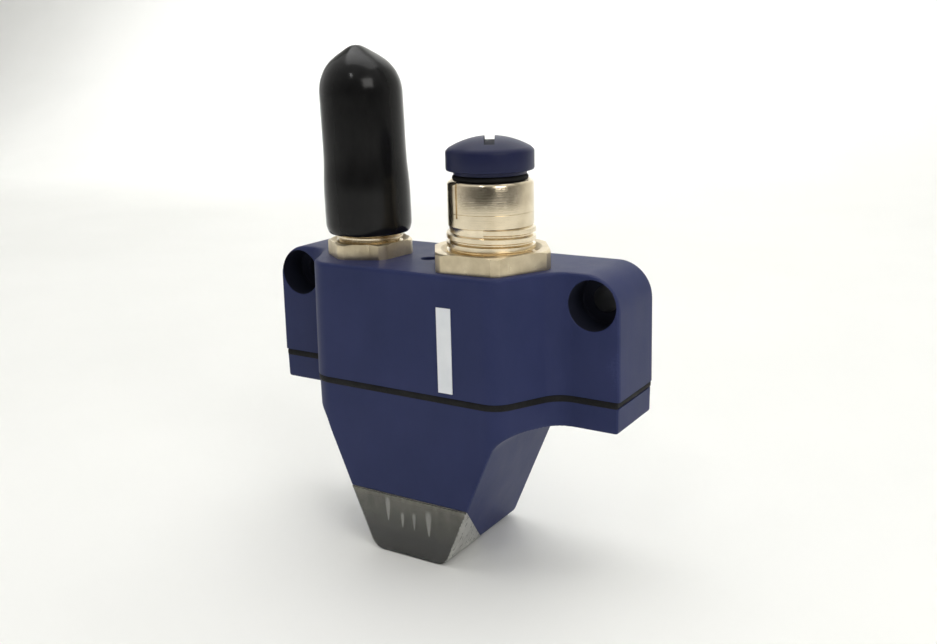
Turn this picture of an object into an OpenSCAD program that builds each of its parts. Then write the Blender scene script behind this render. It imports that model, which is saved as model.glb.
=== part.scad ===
// Receiver unit of a wireless limit-switch system: a two-part moulded housing with two mounting
// ears, a clear light guide in the nose tip and two threaded round connectors on top.
// The connector on the left wears a pull-off cap, the one on the right a slotted screw plug.
// X runs to the right, Y to the back, Z up. The origin lies on the back face, midway between
// the two mounting holes. All sizes are in millimetres.

/* [Housing] */
// Width of each ear, from its side to the line of the block's flank
ear_width = 11; // [9.2:0.1:13.2]
// Depth of the two ears
ear_depth = 14.2; // [11.8:0.1:17]
// Angle of the block's flanks, measured from the depth direction
flank_angle = 28; // [23:1:34]
// Rounding where a flank meets the front face
front_corner_r = 4.5; // [3.7:0.1:5.4]
// Hollow rounding where a flank meets an ear
flank_fillet_r = 4.8; // [4:0.1:5.8]
// Rounding of the ears' upper outer corners, as far as the counterbore leaves a wall
ear_corner_r = 6.1; // [5:0.1:7.3]
// Height of the upper housing
upper_height = 20.8; // [17.3:0.1:25]
// Height of the lower housing's flange under the ears
flange_height = 4.45; // [3.7:0.05:5.4]
// Height from the nose tip to the top face
total_height = 52.3; // [43.5:0.1:63]
// Wall of both housings
wall = 2; // [1.6:0.1:2.4]
// Wall under the connectors' lock nuts
top_wall = 2.6; // [2.1:0.1:3.2]
// Material between the hollow and the line where an ear begins
ear_wall = 3.1; // [2.5:0.1:3.8]
// Thickness of the gasket between the housings
gasket_thickness = 1.2; // [1:0.1:1.5]
// How far the lower housing stands back from the upper one
seam_step = 0.2; // [0.15:0.01:0.25]

/* [Nose and light guide] */
// How far the nose's sides stand in from the front face's corners, at the underside of the ears
nose_step = 0.3; // [0.25:0.01:0.4]
// Width of the nose at its tip, before the corners are rounded
nose_tip_width = 15.2; // [12.7:0.1:18.3]
// Rounding of the tip's lower corners
nose_corner_r = 3; // [2.5:0.1:3.6]
// Hollow rounding between the nose's sides and the underside of the ears
nose_fillet_r = 5; // [4.2:0.1:6]
// Rounding of the tip's lower rear edge
tip_rear_r = 2; // [1.6:0.1:2.4]
// Height of the light guide's front face
lens_rise = 11.65; // [9.7:0.05:14]
// Depth of the light guide at the bottom
lens_run = 12.8; // [10.7:0.1:15.4]
// Wall of the light guide
lens_wall = 2.2; // [1.8:0.1:2.7]
// Diameter of the light guide's two stems
stem_d = 3.2; // [2.6:0.1:3.9]
// Distance between the two stems
stem_spacing = 6.4; // [5.3:0.1:7.7]

/* [Mounting holes] */
// Through hole
hole_d = 4.5; // [3.7:0.1:5.4]
// Counterbore for the screw head and washer
counterbore_d = 8.5; // [7:0.1:10.2]
// Depth of the counterbore from the ear's front
counterbore_depth = 5.5; // [4.5:0.1:6.6]
// Material between the counterbore and the ear's side
counterbore_side_wall = 0.75; // [0.6:0.01:0.9]
// Material between the counterbore and the top face
counterbore_top_wall = 0.85; // [0.7:0.01:1.1]

/* [Connectors] */
// Distance between the two connector axes
connector_spacing = 25.5; // [21.2:0.1:30.6]
// Distance from the back face to the connector axes
connector_depth = 13.8; // [11.5:0.1:16.6]
// Thread of the male connector and of the plug, over the crests
thread_d = 12; // [10:0.1:14.4]
// Pitch of that thread
pitch = 1; // [0.8:0.05:1.2]
// Height of the male connector above the top face
male_height = 13.5; // [11.2:0.1:16.2]
// Wall of the female connector's smooth barrel
barrel_wall = 1.14; // [0.95:0.01:1.4]
// Height of the female connector above the top face
barrel_height = 14.4; // [12:0.1:17.3]
// How far the mounting thread stands out over the smooth barrel
mount_thread_step = 0.3; // [0.25:0.01:0.4]
// Pitch of the mounting thread
mount_pitch = 1.41; // [1.2:0.01:1.7]
// Height of the mounting thread above the top face
mount_thread_height = 7; // [5.8:0.1:8.4]
// Material between the female connector's thread and its nut's flats
female_nut_rim = 2; // [1.6:0.1:2.4]
// Height of the female connector's lock nut
female_nut_height = 3.1; // [2.6:0.1:3.7]
// Material between the male connector's thread and its nut's flats
male_nut_rim = 1; // [0.85:0.05:1.2]
// Height of the male connector's lock nut
male_nut_height = 2.7; // [2.2:0.1:3.2]
// Diameter of a contact pin
pin_d = 1; // [0.85:0.05:1.2]

/* [Cap and plug] */
// Wall of the cap near its mouth
cap_wall = 1.6; // [1.3:0.1:1.9]
// Wall of the cap in its upper half
cap_upper_wall = 1.3; // [1.1:0.1:1.5]
// Cap height from mouth to tip
cap_height = 32.5; // [27.1:0.1:39]
// Gap between the top face and the cap's mouth
cap_gap = 4; // [3.4:0.1:4.8]
// Sideways lean of the cap's top
cap_lean = 0.6; // [0.5:0.1:0.8]
// How far the plug's head stands out over its thread
plug_rim = 1.35; // [1.1:0.05:1.6]
// Height of the plug head's side
plug_side = 3.4; // [2.8:0.1:4.1]
// Height of the plug's dome over its side
plug_dome = 2.2; // [1.8:0.1:2.7]
// Width of the screwdriver slot
slot_width = 1.7; // [1.4:0.1:2]
// Depth of the slot below the top of the dome
slot_depth = 1.1; // [0.9:0.1:1.3]
// Gap between the barrel's rim and the plug's head
plug_gap = 1.6; // [1.3:0.1:1.9]

/* [Electronics] */
// Thickness of the main circuit board
main_board_t = 1.6; // [1.3:0.1:1.9]
// Depth of the main board's upper side below the top face
main_board_drop = 12.2; // [10.2:0.1:14.6]
// Width of the radio board
radio_board_w = 18; // [15:0.1:21.6]
// Thickness of the radio board
radio_board_t = 1.2; // [1:0.1:1.4]
// Outer diameter of the antenna coil
antenna_d = 4.6; // [3.8:0.1:5.5]
// Number of turns of the antenna
antenna_turns = 7; // [6:1:8]
// Wire of the antenna
antenna_wire = 0.7; // [0.6:0.05:0.85]

/* [Clearances] */
// Gap around a piece that is pressed or laid into another
seat_gap = 0.05; // [0.04:0.01:0.06]
// Radial running clearance of the cap and of the plug
running_gap = 0.06; // [0.05:0.01:0.07]
// Radial clearance around a part that moves past another
free_gap = 0.4; // [0.33:0.01:0.48]
// Room between the connector flanges and the housing's front wall
flange_front_room = 0.35; // [0.3:0.01:0.42]
// Room between the male connector's flange and the flank's wall
male_side_room = 0.15; // [0.12:0.01:0.18]
// Room between the female connector's flange and the flank's wall
female_side_room = 0.675; // [0.54:0.005:0.8]
// Room between the boards and the housing
board_room = 0.6; // [0.5:0.1:0.7]

/* [Hidden] */
e = 0.01;
arc_steps = 10;

// connectors
bore_d = thread_d + 2 * running_gap;
barrel_d = bore_d + 2 * barrel_wall;
mount_thread_d = barrel_d + 2 * mount_thread_step;
male_nut_af = thread_d + 2 * male_nut_rim;
female_nut_af = mount_thread_d + 2 * female_nut_rim;
female_flange_r = mount_thread_d / 2 + 1.25;
male_flange_r = thread_d / 2 + 1.55;
insert_d = thread_d - 2.3;
insert_nose_d = thread_d - 3.8;
socket_bore_d = thread_d - 3.2;
contact_circle_d = thread_d - 7;
contact_off = contact_circle_d / 2 * sin(45);
thread_cut = pitch * 0.54;
mount_thread_cut = mount_pitch * 0.48;
tail_d = 0.8 * pin_d;
flange_t = 1.8;
connector_body = 5.9;
socket_floor = 4;

// housing in plan, built up around the connectors
front_room = female_flange_r + flange_front_room + wall;
depth = connector_depth + front_room;
male_inset = (wall + male_flange_r + male_side_room) / cos(flank_angle) - front_room * tan(flank_angle);
female_inset = (wall + female_flange_r + female_side_room) / cos(flank_angle) - front_room * tan(flank_angle);
front_width = connector_spacing + male_inset + female_inset;
male_offset = front_width / 2 - male_inset;
female_offset = front_width / 2 - female_inset;
half_w = front_width / 2 + (depth - ear_depth) * tan(flank_angle) + ear_width;
width = 2 * half_w;
cavity_half = half_w - ear_width - ear_wall;
edge_r = 0.9;

// mounting holes
hole_r = counterbore_d / 2;
hole_inset = hole_r + counterbore_side_wall;
hole_drop = hole_r + counterbore_top_wall;
hole_x = half_w - hole_inset;
corner_room = hole_inset + hole_drop - hole_r - 0.2;
corner_limit = corner_room + sqrt(max(0, corner_room * corner_room - hole_inset * hole_inset
    - hole_drop * hole_drop + (hole_r + 0.2) * (hole_r + 0.2)));
corner_r = min(ear_corner_r, corner_limit);

// heights
z_top = hole_drop;
z_seam = z_top - upper_height;
z_low = z_seam - gasket_thickness;
z_ear = z_low - flange_height;
z_tip = z_top - total_height;
z_flange = z_top - top_wall;
z_back_end = z_flange - connector_body;
z_cap = z_top + cap_gap;
z_rim = z_top + barrel_height;
z_head = z_rim + plug_gap;
z_board = z_top - main_board_drop;
z_tail = z_board - main_board_t - 1.2;

// nose
nose_top_width = front_width - 2 * nose_step;
nose_lean = atan((nose_top_width - nose_tip_width) / 2 / (z_ear - z_tip));
lens_angle = atan(lens_rise / lens_run);
lens_length = sqrt(lens_rise * lens_rise + lens_run * lens_run);

// housing screws
screw_d = 3;
screw_x = half_w - ear_width / 2 - 0.5;
screw_y = -ear_depth / 2;
screw_head_d = 5.4;
screw_head_h = 1.6;
screw_recess = 2;
screw_length = upper_height + gasket_thickness + flange_height - screw_recess - hole_drop - hole_r - 2.5;

// label on the upper housing's front
label_w = 2.75;
label_top = 5.4;
label_h = upper_height - label_top - 0.8;
label_t = 0.15;
label_x = 9;

// inside the housing
radio_y = -wall - 4.4;
z_radio = z_board - main_board_t - 2.4;
radio_board_h = z_radio - z_tip - lens_rise - 2.45;
shield_h = radio_board_h - antenna_d - 5.4;
shield_w = radio_board_w - 5;
capacitor_d = 5;
capacitor_h = 6;
led_lift = 0.5;
led_h = 1.4;
led_board_t = 1;
lead_d = 0.7;

// ---- outlines -------------------------------------------------------------------------------

function arc(cx, cy, r, from, to, n = arc_steps) =
    [for (i = [0:n]) [cx + r * cos(from + (to - from) * i / n), cy + r * sin(from + (to - from) * i / n)]];

function flipped(points) =
    [for (i = [len(points) - 1:-1:0]) [-points[i][0], points[i][1]]];

function flank_x(y, inset) =
    front_width / 2 + (y + depth) * tan(flank_angle) - inset / cos(flank_angle);

// Right half of the housing's plan, moved inwards by inset.
function plan_half(inset) =
    let (front = inset - depth)
    let (ear = inset - ear_depth)
    let (rc = max(front_corner_r - inset, 0.5))
    let (rf = flank_fillet_r + inset)
    let (re = max(edge_r - inset, 0.3))
    let (half_turn = tan((90 - flank_angle) / 2))
    let (side = half_w - inset)
    concat(
        arc(flank_x(front, inset) - rc * half_turn, front + rc, rc, -90, -flank_angle),
        arc(flank_x(ear, inset) + rf * half_turn, ear - rf, rf, 180 - flank_angle, 90),
        arc(side - re, ear + re, re, -90, 0, 4),
        arc(side - re, -inset - re, re, 0, 90, 4));

module plan(inset) {
    polygon(concat(plan_half(inset), flipped(plan_half(inset))));
}

// The block's hollow in plan: it stops short of the ears.
module cavity_plan(inset) {
    intersection() {
        plan(inset);
        translate([inset - wall - cavity_half, -depth])
            square([2 * (cavity_half - inset + wall), depth]);
    }
}

module slab(low, high) {
    translate([0, 0, low])
        linear_extrude(height = high - low)
            children();
}

// A shape drawn in X and Z, run through the whole depth.
module through_depth() {
    translate([0, 5, 0])
        rotate([90, 0, 0])
            linear_extrude(height = depth + 10)
                children();
}

// A shape drawn in Y and Z, run through the whole width.
module through_width(w) {
    translate([-w / 2, 0, 0])
        rotate([90, 0, 90])
            linear_extrude(height = w)
                children();
}

module upper_front() {
    right = arc(half_w - corner_r, z_top - corner_r, corner_r, 0, 90, 14);
    skirt = [[half_w + 2, z_seam - 2], [half_w + 2, z_top - corner_r]];
    polygon(concat(skirt, right, flipped(right), flipped(skirt)));
}

// Front view of the lower housing: ear flanges, leaning sides and a rounded tip.
module lower_front(inset, raise) {
    lean_in = inset / cos(nose_lean);
    r = max(nose_corner_r - inset, 0.6);
    bottom = z_tip + inset;
    tip_half = nose_tip_width / 2 + inset * tan(nose_lean) - lean_in;
    shoulder = z_ear + inset;
    top_half = nose_top_width / 2 + inset * tan(nose_lean) - lean_in;
    tip = arc(tip_half - r * tan((90 - nose_lean) / 2), bottom + r, r, -90, -nose_lean, 8);
    fillet = nose_fillet_r + inset;
    swing = fillet * tan((90 - nose_lean) / 2);
    hollow = arc(top_half + swing, shoulder - fillet, fillet, 180 - nose_lean, 90);
    right = concat(tip, hollow, [[half_w + 2, shoulder], [half_w + 2, raise]]);
    polygon(concat(right, flipped(right)));
}

// Everything in front of and below the slope that parts the light guide from the housing.
module below_slope(shift) {
    dy = lens_run / lens_length;
    dz = -lens_rise / lens_length;
    oy = -shift * dz - depth;
    oz = z_tip + lens_rise + shift * dy;
    through_width(width + 4)
        polygon([[oy - 9 * dy, oz - 9 * dz], [oy + 40 * dy, oz + 40 * dz],
            [oy + 40 * dy, z_tip - 40], [-depth - 40, z_tip - 40], [-depth - 40, oz - 9 * dz]]);
}

// Places children on the slope's middle, their Z square to it and pointing into the housing.
module on_slope(lift) {
    translate([0, -depth + lens_run / 2, z_tip + lens_rise / 2])
        rotate([-lens_angle, 0, 0])
            translate([0, 0, lift])
                children();
}

// Side view of the lower housing: only the tip's rear edge is rounded.
module lower_side(inset) {
    r = max(tip_rear_r - inset, 0.3);
    bottom = z_tip + inset;
    back = -seam_step - inset;
    polygon(concat([[-depth - 5, bottom]], arc(back - r, bottom + r, r, -90, 0, 8),
        [[back, bottom + 2 * r + nose_corner_r], [5, bottom + 2 * r + nose_corner_r + 1], [5, z_low + 5],
            [-depth - 5, z_low + 5]]));
}

module lower_outside() {
    intersection() {
        slab(z_tip - 1, z_low)
            plan(seam_step);
        through_depth()
            lower_front(0, z_low + 5);
        through_width(width + 2)
            lower_side(0);
    }
}

module hole_axis(x) {
    translate([x, 0, 0])
        rotate([90, 0, 0])
            children();
}

// ---- threads and rings ----------------------------------------------------------------------

// A ridged rod: ridges of the given pitch between low and high, crests at d.
module ridged_rod(d, pitch, cut, low, high) {
    n = floor((high - low) / pitch);
    start = high - n * pitch;
    teeth = [for (i = [0:n - 1]) for (p = [[d / 2 - cut, 0.1], [d / 2, 0.42], [d / 2, 0.58], [d / 2 - cut, 0.9]])
        [p[0], start + (i + p[1]) * pitch]];
    rotate_extrude($fn = 60)
        polygon(concat([[0, low], [d / 2 - cut, low]], teeth, [[d / 2 - cut, high], [0, high]]));
}

module rod(d, low, high, n = 60) {
    translate([0, 0, low])
        cylinder(d = d, h = high - low, $fn = n);
}

module cone(d1, d2, low, high, n = 60) {
    translate([0, 0, low])
        cylinder(d1 = d1, d2 = d2, h = high - low, $fn = n);
}

module ring(mean_r, section_r, z) {
    translate([0, 0, z])
        rotate_extrude($fn = 60)
            translate([mean_r, 0])
                circle(r = section_r, $fn = 20);
}

module hexagon(af, low, high) {
    rod(af / cos(30), low, high, 6);
}

module at_male() {
    translate([-male_offset, -connector_depth, 0])
        children();
}

module at_female() {
    translate([female_offset, -connector_depth, 0])
        children();
}

module contact_places() {
    for (a = [45:90:315])
        rotate([0, 0, a])
            translate([contact_circle_d / 2, 0, 0])
                children();
}

// Lock nut with both bore ends countersunk and its upper corners broken.
module lock_nut(af, height, bore, turn) {
    rotate([0, 0, turn])
        difference() {
            intersection() {
                hexagon(af, z_top, z_top + height);
                cone(af / cos(30) + 6.6, af / cos(30) - 0.7, z_top - 0.2, z_top + height + 0.01);
            }
            rod(bore, z_top - 1, z_top + height + 1);
            cone(bore - 0.2, bore + 2, z_top + height - 1.1, z_top + height + e);
            cone(bore + 1, bore - 0.2, z_top - e, z_top + 0.6);
        }
}

// ---- housing --------------------------------------------------------------------------------

module upper_housing() {
    color([0.17, 0.2, 0.36])
        difference() {
            intersection() {
                slab(z_seam, z_top)
                    plan(0);
                through_depth()
                    upper_front();
            }
            slab(z_seam - 1, z_flange)
                cavity_plan(wall);
            at_male()
                rod(thread_d + 0.2, z_flange - 1, z_top + 1);
            at_female()
                rod(mount_thread_d + 0.2, z_flange - 1, z_top + 1);
            // small round recess midway between the lock nuts
            translate([(female_offset - male_offset) / 2, -connector_depth, 0])
                rod(2.9, z_top - 0.6, z_top + 1, 32);
            for (side = [-1, 1]) {
                hole_axis(side * hole_x) {
                    rod(hole_d, -1, ear_depth + 1, 40);
                    rod(counterbore_d, ear_depth - counterbore_depth, depth, 64);
                }
                translate([side * screw_x, screw_y, 0])
                    rod(screw_d + 2 * seat_gap, z_seam - 1, z_ear + screw_recess + screw_length + 0.5, 32);
            }
        }
}

module lower_housing() {
    color([0.17, 0.2, 0.36])
        difference() {
            lower_outside();
            below_slope(0);
            // hollow, with a floor square to the light guide's slope
            difference() {
                intersection() {
                    slab(z_tip - 1, z_low + 1)
                        cavity_plan(wall);
                    through_depth()
                        lower_front(wall, z_low + 5);
                }
                below_slope(wall);
            }
            slab(z_ear + wall, z_low + 1)
                cavity_plan(wall);
            for (side = [-1, 1]) {
                on_slope(-1)
                    translate([side * stem_spacing / 2, 0, 0])
                        cylinder(d = stem_d + 2 * seat_gap, h = wall + 2, $fn = 32);
                translate([side * screw_x, screw_y, 0]) {
                    rod(screw_d + 0.4, z_ear - 1, z_low + 1, 32);
                    rod(screw_head_d + 0.4, z_ear - 1, z_ear + screw_recess, 40);
                }
            }
        }
}

module housing_gasket() {
    color([0.06, 0.06, 0.07])
        difference() {
            slab(z_low, z_seam)
                plan(0.05);
            slab(z_low - 1, z_seam + 1)
                cavity_plan(wall);
            for (side = [-1, 1])
                translate([side * screw_x, screw_y, 0])
                    rod(screw_d + 0.4, z_low - 1, z_seam + 1, 32);
        }
}

module light_guide() {
    color([0.75, 0.76, 0.76, 0.4]) {
        difference() {
            intersection() {
                lower_outside();
                below_slope(-seat_gap);
            }
            intersection() {
                slab(z_tip + lens_wall, z_low)
                    plan(seam_step + lens_wall);
                through_depth()
                    lower_front(lens_wall, z_low + 5);
                below_slope(1);
            }
        }
        // stems that carry the light from the lamps into the front wall
        intersection() {
            union()
                for (side = [-1, 1])
                    on_slope(-lens_rise)
                        translate([side * stem_spacing / 2, 0, 0])
                            cylinder(d = stem_d, h = lens_rise + wall - seat_gap, $fn = 32);
            slab(z_tip + lens_wall - 0.3, z_low)
                square([width, 2 * (depth - lens_wall + 0.3)], center = true);
        }
    }
}

module front_label() {
    color([0.9, 0.91, 0.92])
        translate([label_x - label_w / 2, -depth - label_t, z_top - label_top - label_h])
            cube([label_w, label_t, label_h]);
}

module housing_screws() {
    color([0.62, 0.62, 0.64])
        for (side = [-1, 1])
            translate([side * screw_x, screw_y, 0])
                difference() {
                    union() {
                        rod(screw_head_d, z_ear + screw_recess - screw_head_h, z_ear + screw_recess, 40);
                        rod(screw_d, z_ear + screw_recess - e, z_ear + screw_recess + screw_length, 32);
                    }
                    rod(2.4, z_ear - 1, z_ear + screw_recess - 0.4, 6);
                }
}

// ---- male connector -------------------------------------------------------------------------

module male_shell() {
    color([0.72, 0.69, 0.62])
        at_male()
            difference() {
                union() {
                    ridged_rod(thread_d, pitch, thread_cut, z_flange, z_top + male_height - 0.6);
                    cone(thread_d - 2 * thread_cut, thread_d - 2 * thread_cut - 0.5,
                        z_top + male_height - 0.6 - e, z_top + male_height);
                    rod(2 * male_flange_r, z_flange - flange_t, z_flange);
                    rod(2 * male_flange_r - 2.2, z_back_end, z_flange - flange_t + e);
                }
                rod(insert_d + 2 * seat_gap, z_back_end - 1, z_top + socket_floor);
                rod(socket_bore_d, z_top + socket_floor - 1, z_top + male_height + 1);
                translate([0, 0, z_flange])
                    seal_groove(male_flange_r - 0.75, 0.95, 0.9);
            }
}

// Ring-shaped groove cut down from the height it is placed at.
module seal_groove(mean_r, wide, deep) {
    rotate_extrude($fn = 60)
        translate([mean_r - wide / 2, -deep])
            square([wide, deep + 1]);
}

module male_nut() {
    color([0.74, 0.7, 0.62])
        at_male()
            lock_nut(male_nut_af, male_nut_height, thread_d + 2 * seat_gap, 23.7);
}

module male_insert() {
    color([0.1, 0.1, 0.11])
        at_male()
            difference() {
                union() {
                    rod(insert_d, z_back_end, z_top + socket_floor - e);
                    // key rib along the socket's wall
                    translate([0.04 - socket_bore_d / 2, -0.5, z_top + socket_floor - 2 * e])
                        cube([0.9, 1, male_height - socket_floor - 1.5]);
                }
                contact_places()
                    rod(pin_d + 2 * seat_gap, z_back_end - 1, z_top + male_height, 24);
            }
}

module male_pins() {
    color([0.83, 0.68, 0.36])
        at_male()
            contact_places() {
                rod(pin_d, z_back_end, z_top + male_height - 2.5, 24);
                cone(pin_d, 0.5 * pin_d, z_top + male_height - 2.5 - e, z_top + male_height - 2, 24);
                rod(tail_d, z_tail, z_back_end + e, 24);
            }
}

module male_seal() {
    color([0.05, 0.05, 0.05])
        at_male()
            ring(male_flange_r - 0.75, 0.44, z_flange - 0.45);
}

// Drawn cap: a long round sleeve with a domed end that runs out to a drip point.
module dust_cap() {
    top = z_cap + cap_height;
    bend = z_cap + cap_height * 0.36;
    bore = thread_d / 2 + running_gap;
    r1 = bore + cap_wall;
    r2 = bore + cap_upper_wall;
    dome_r = r2 - 0.75;
    color([0.04, 0.04, 0.045])
        at_male()
            difference() {
                union() {
                    rotate_extrude($fn = 60)
                        polygon([[0, z_cap], [r1 - 0.7, z_cap], [r1 - 0.2, z_cap + 0.25], [r1, z_cap + 0.9],
                            [r1, bend - 1.2], [r2 + 0.04, bend + 1.6], [0, bend + 1.6]]);
                    translate([-cap_lean * 0.5, 0, 0])
                        rotate_extrude($fn = 60)
                            polygon(concat([[0, bend], [r2, bend + 1.4], [r2, top - 9.4]],
                                arc(r2 - dome_r, top - 9.4, dome_r, 10, 62, 5),
                                [[2.7, top - 2.2], [1.5, top - 0.9], [0.8, top - 0.2], [0, top]]));
                }
                rod(2 * bore, z_cap - 1, z_top + male_height + 1.5);
                cone(2 * bore + 1, 2 * bore - 0.1, z_cap - e, z_cap + 0.55);
                // hollow dome over the connector, as wide as the upper half allows
                translate([-cap_lean * 0.5, 0, 0])
                    cone(2 * bore - 0.6, 5, z_top + male_height + 1.4, top - 5.5);
            }
}

// ---- female connector -----------------------------------------------------------------------

module female_shell() {
    thread_top = z_top + mount_thread_height;
    color([0.74, 0.71, 0.64])
        at_female()
            difference() {
                union() {
                    ridged_rod(mount_thread_d, mount_pitch, mount_thread_cut, z_flange, thread_top);
                    rod(barrel_d, thread_top - e, z_rim - 0.35);
                    cone(barrel_d, barrel_d - 0.6, z_rim - 0.35 - e, z_rim);
                    rod(2 * female_flange_r, z_flange - flange_t, z_flange);
                    rod(2 * female_flange_r - 3.4, z_back_end, z_flange - flange_t + e);
                }
                rod(bore_d, z_top + socket_floor, z_rim + 1);
                cone(bore_d - 0.2, bore_d + 1.1, z_rim - 0.65, z_rim + e);
                rod(insert_d + 2 * seat_gap, z_back_end - 1, z_top + socket_floor + e);
                translate([0, 0, z_flange])
                    seal_groove(female_flange_r - 0.55, 0.75, 0.7);
                // engraved mark that shows where the key lies
                rotate([0, 0, -20])
                    translate([-0.22, -barrel_d / 2 - 0.3, z_rim - 6])
                        cube([0.44, 0.55, 7]);
            }
}

module female_nut() {
    color([0.76, 0.72, 0.63])
        at_female()
            lock_nut(female_nut_af, female_nut_height, mount_thread_d + 2 * seat_gap, 3.5);
}

module female_insert() {
    color([0.1, 0.1, 0.11])
        at_female()
            difference() {
                union() {
                    rod(insert_d, z_back_end, z_top + socket_floor - 0.3);
                    rod(insert_nose_d, z_top + socket_floor - 0.3 - e, z_rim - 1.2);
                }
                contact_places()
                    rod(1.6, z_back_end - 1, z_rim, 24);
                // keyway
                rotate([0, 0, -90])
                    translate([insert_nose_d / 2 - 0.75, -0.6, z_rim - 9])
                        cube([1, 1.2, 9]);
            }
}

module female_contacts() {
    color([0.83, 0.68, 0.36])
        at_female()
            contact_places()
                difference() {
                    union() {
                        rod(1.5, z_back_end, z_rim - 1.6, 24);
                        rod(tail_d, z_tail, z_back_end + e, 24);
                    }
                    rod(pin_d, z_rim - 8, z_rim, 24);
                }
}

module female_seal() {
    color([0.05, 0.05, 0.05])
        at_female()
            ring(female_flange_r - 0.55, 0.34, z_flange - 0.35);
}

// ---- screw plug -----------------------------------------------------------------------------

module blanking_plug() {
    r = thread_d / 2 + plug_rim;
    sphere_r = (r * r + plug_dome * plug_dome) / 2 / plug_dome;
    side_top = z_head + plug_side;
    dome = [for (i = [1:8]) let (x = (r - 0.5) * (8 - i) / 8)
        [x, side_top + plug_dome - sphere_r + sqrt(sphere_r * sphere_r - x * x)]];
    color([0.13, 0.16, 0.36])
        at_female()
            difference() {
                union() {
                    rotate_extrude($fn = 60)
                        polygon(concat([[0, z_head], [r - 0.3, z_head], [r, z_head + 0.3], [r, side_top - 0.3],
                            [r - 0.15, side_top + 0.05]], dome));
                    rod(thread_d + 0.2, z_rim + 0.95, z_head + e);
                    rod(thread_d - 1.4, z_rim - 0.5, z_rim + 1);
                    ridged_rod(thread_d, pitch, thread_cut, z_rim - 8.6, z_rim - 0.5);
                }
                rod(insert_nose_d + 2 * free_gap, z_rim - 10, z_rim - 0.4);
                rotate([0, 0, 30])
                    translate([-slot_width / 2, -r - 1, side_top + plug_dome - slot_depth])
                        cube([slot_width, 2 * r + 2, 5]);
            }
}

module plug_seal() {
    color([0.05, 0.05, 0.05])
        at_female()
            ring(thread_d / 2 - 0.15, 0.5, z_rim + 0.42);
}

// ---- electronics ----------------------------------------------------------------------------

module main_board() {
    color([0.1, 0.32, 0.18])
        difference() {
            slab(z_board - main_board_t, z_board)
                cavity_plan(wall + board_room);
            at_male()
                contact_places()
                    rod(tail_d + 0.2, z_tail, z_board + 1, 24);
            at_female()
                contact_places()
                    rod(tail_d + 0.2, z_tail, z_board + 1, 24);
            header_places()
                translate([-0.4, -0.4, z_board - main_board_t - 1])
                    cube([0.8, 0.8, main_board_t + 2]);
        }
}

module header_places() {
    for (i = [-2.5:1:2.5])
        translate([i * 2.54, radio_y + radio_board_t / 2 + 0.4, 0])
            children();
}

module radio_board() {
    color([0.08, 0.28, 0.2])
        translate([-radio_board_w / 2, radio_y - radio_board_t / 2, z_radio - radio_board_h])
            cube([radio_board_w, radio_board_t, radio_board_h]);
}

// Pins that join the radio board to the main board, with their spacer strip.
module board_header() {
    color([0.12, 0.12, 0.13])
        header_places() {
            translate([-0.3, -0.3, z_radio - 3])
                cube([0.6, 0.6, z_board + 1 - z_radio + 3]);
            translate([-1.28, -0.3, z_radio + 0.2])
                cube([2.56, 2, 1.8]);
        }
}

module shield_can() {
    color([0.7, 0.71, 0.72])
        translate([-shield_w / 2, radio_y - radio_board_t / 2 - 2.2, z_radio - 2.5 - shield_h])
            difference() {
                cube([shield_w, 2.2, shield_h]);
                translate([0.3, 0.3, 0.3])
                    cube([shield_w - 0.6, 2.2, shield_h - 0.6]);
            }
}

// Wire coil laid against the radio board below the shield can.
module antenna() {
    r = (antenna_d - antenna_wire) / 2;
    w = antenna_wire / 2;
    length = radio_board_w - 5;
    sides = 8;
    steps = antenna_turns * 18;
    rise = atan(length / antenna_turns / (2 * PI * r));
    rows = [for (i = [0:steps]) let (a = 360 * antenna_turns * i / steps) for (k = [0:sides - 1])
        let (b = 360 * k / sides)
        [(r + w * cos(b)) * cos(a) + w * sin(b) * sin(rise) * sin(a),
            (r + w * cos(b)) * sin(a) - w * sin(b) * sin(rise) * cos(a),
            length * i / steps + w * sin(b) * cos(rise)]];
    skin = [for (i = [0:steps - 1]) for (k = [0:sides - 1])
        [i * sides + k, (i + 1) * sides + k, (i + 1) * sides + (k + 1) % sides, i * sides + (k + 1) % sides]];
    first = [for (k = [0:sides - 1]) k];
    last = [for (k = [sides - 1:-1:0]) steps * sides + k];
    color([0.72, 0.5, 0.28])
        translate([0, radio_y - radio_board_t / 2 - antenna_d / 2 - seat_gap,
            z_radio - 2.5 - shield_h - 0.5 - antenna_d / 2])
            rotate([0, 90, 0])
                translate([0, 0, -length / 2])
                    polyhedron(points = rows, faces = concat([first], skin, [last]), convexity = 8);
}

module controller_chip() {
    color([0.07, 0.07, 0.08])
        translate([(female_offset - male_offset) / 2 - 4, -connector_depth - 5.5, z_board - main_board_t - 1.1])
            cube([8, 8, 1.1]);
}

// Two upright cans under the main board, in front of the connectors' solder tails.
module capacitors() {
    base = capacitor_d + 0.2;
    y = -connector_depth - contact_off - tail_d / 2 - 0.5 - base / 2;
    color([0.55, 0.56, 0.6])
        for (x = [0.5 - male_offset, female_offset + 1.4])
            translate([x, y, 0]) {
                rod(capacitor_d, z_board - main_board_t - capacitor_h, z_board - main_board_t - 0.3, 40);
                translate([-base / 2, -base / 2, z_board - main_board_t - 0.6])
                    cube([base, base, 0.6]);
            }
}

module led_board() {
    color([0.1, 0.32, 0.18])
        on_slope(wall + led_lift + led_h)
            translate([-stem_spacing / 2 - 2.4, -3.6, 0])
                cube([stem_spacing + 4.8, 7.2, led_board_t]);
}

module leds() {
    color([0.92, 0.9, 0.8])
        for (side = [-1, 1])
            on_slope(wall + led_lift)
                translate([side * stem_spacing / 2 - 1.5, -1.4, 0])
                    cube([3, 2.8, led_h]);
}

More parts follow.
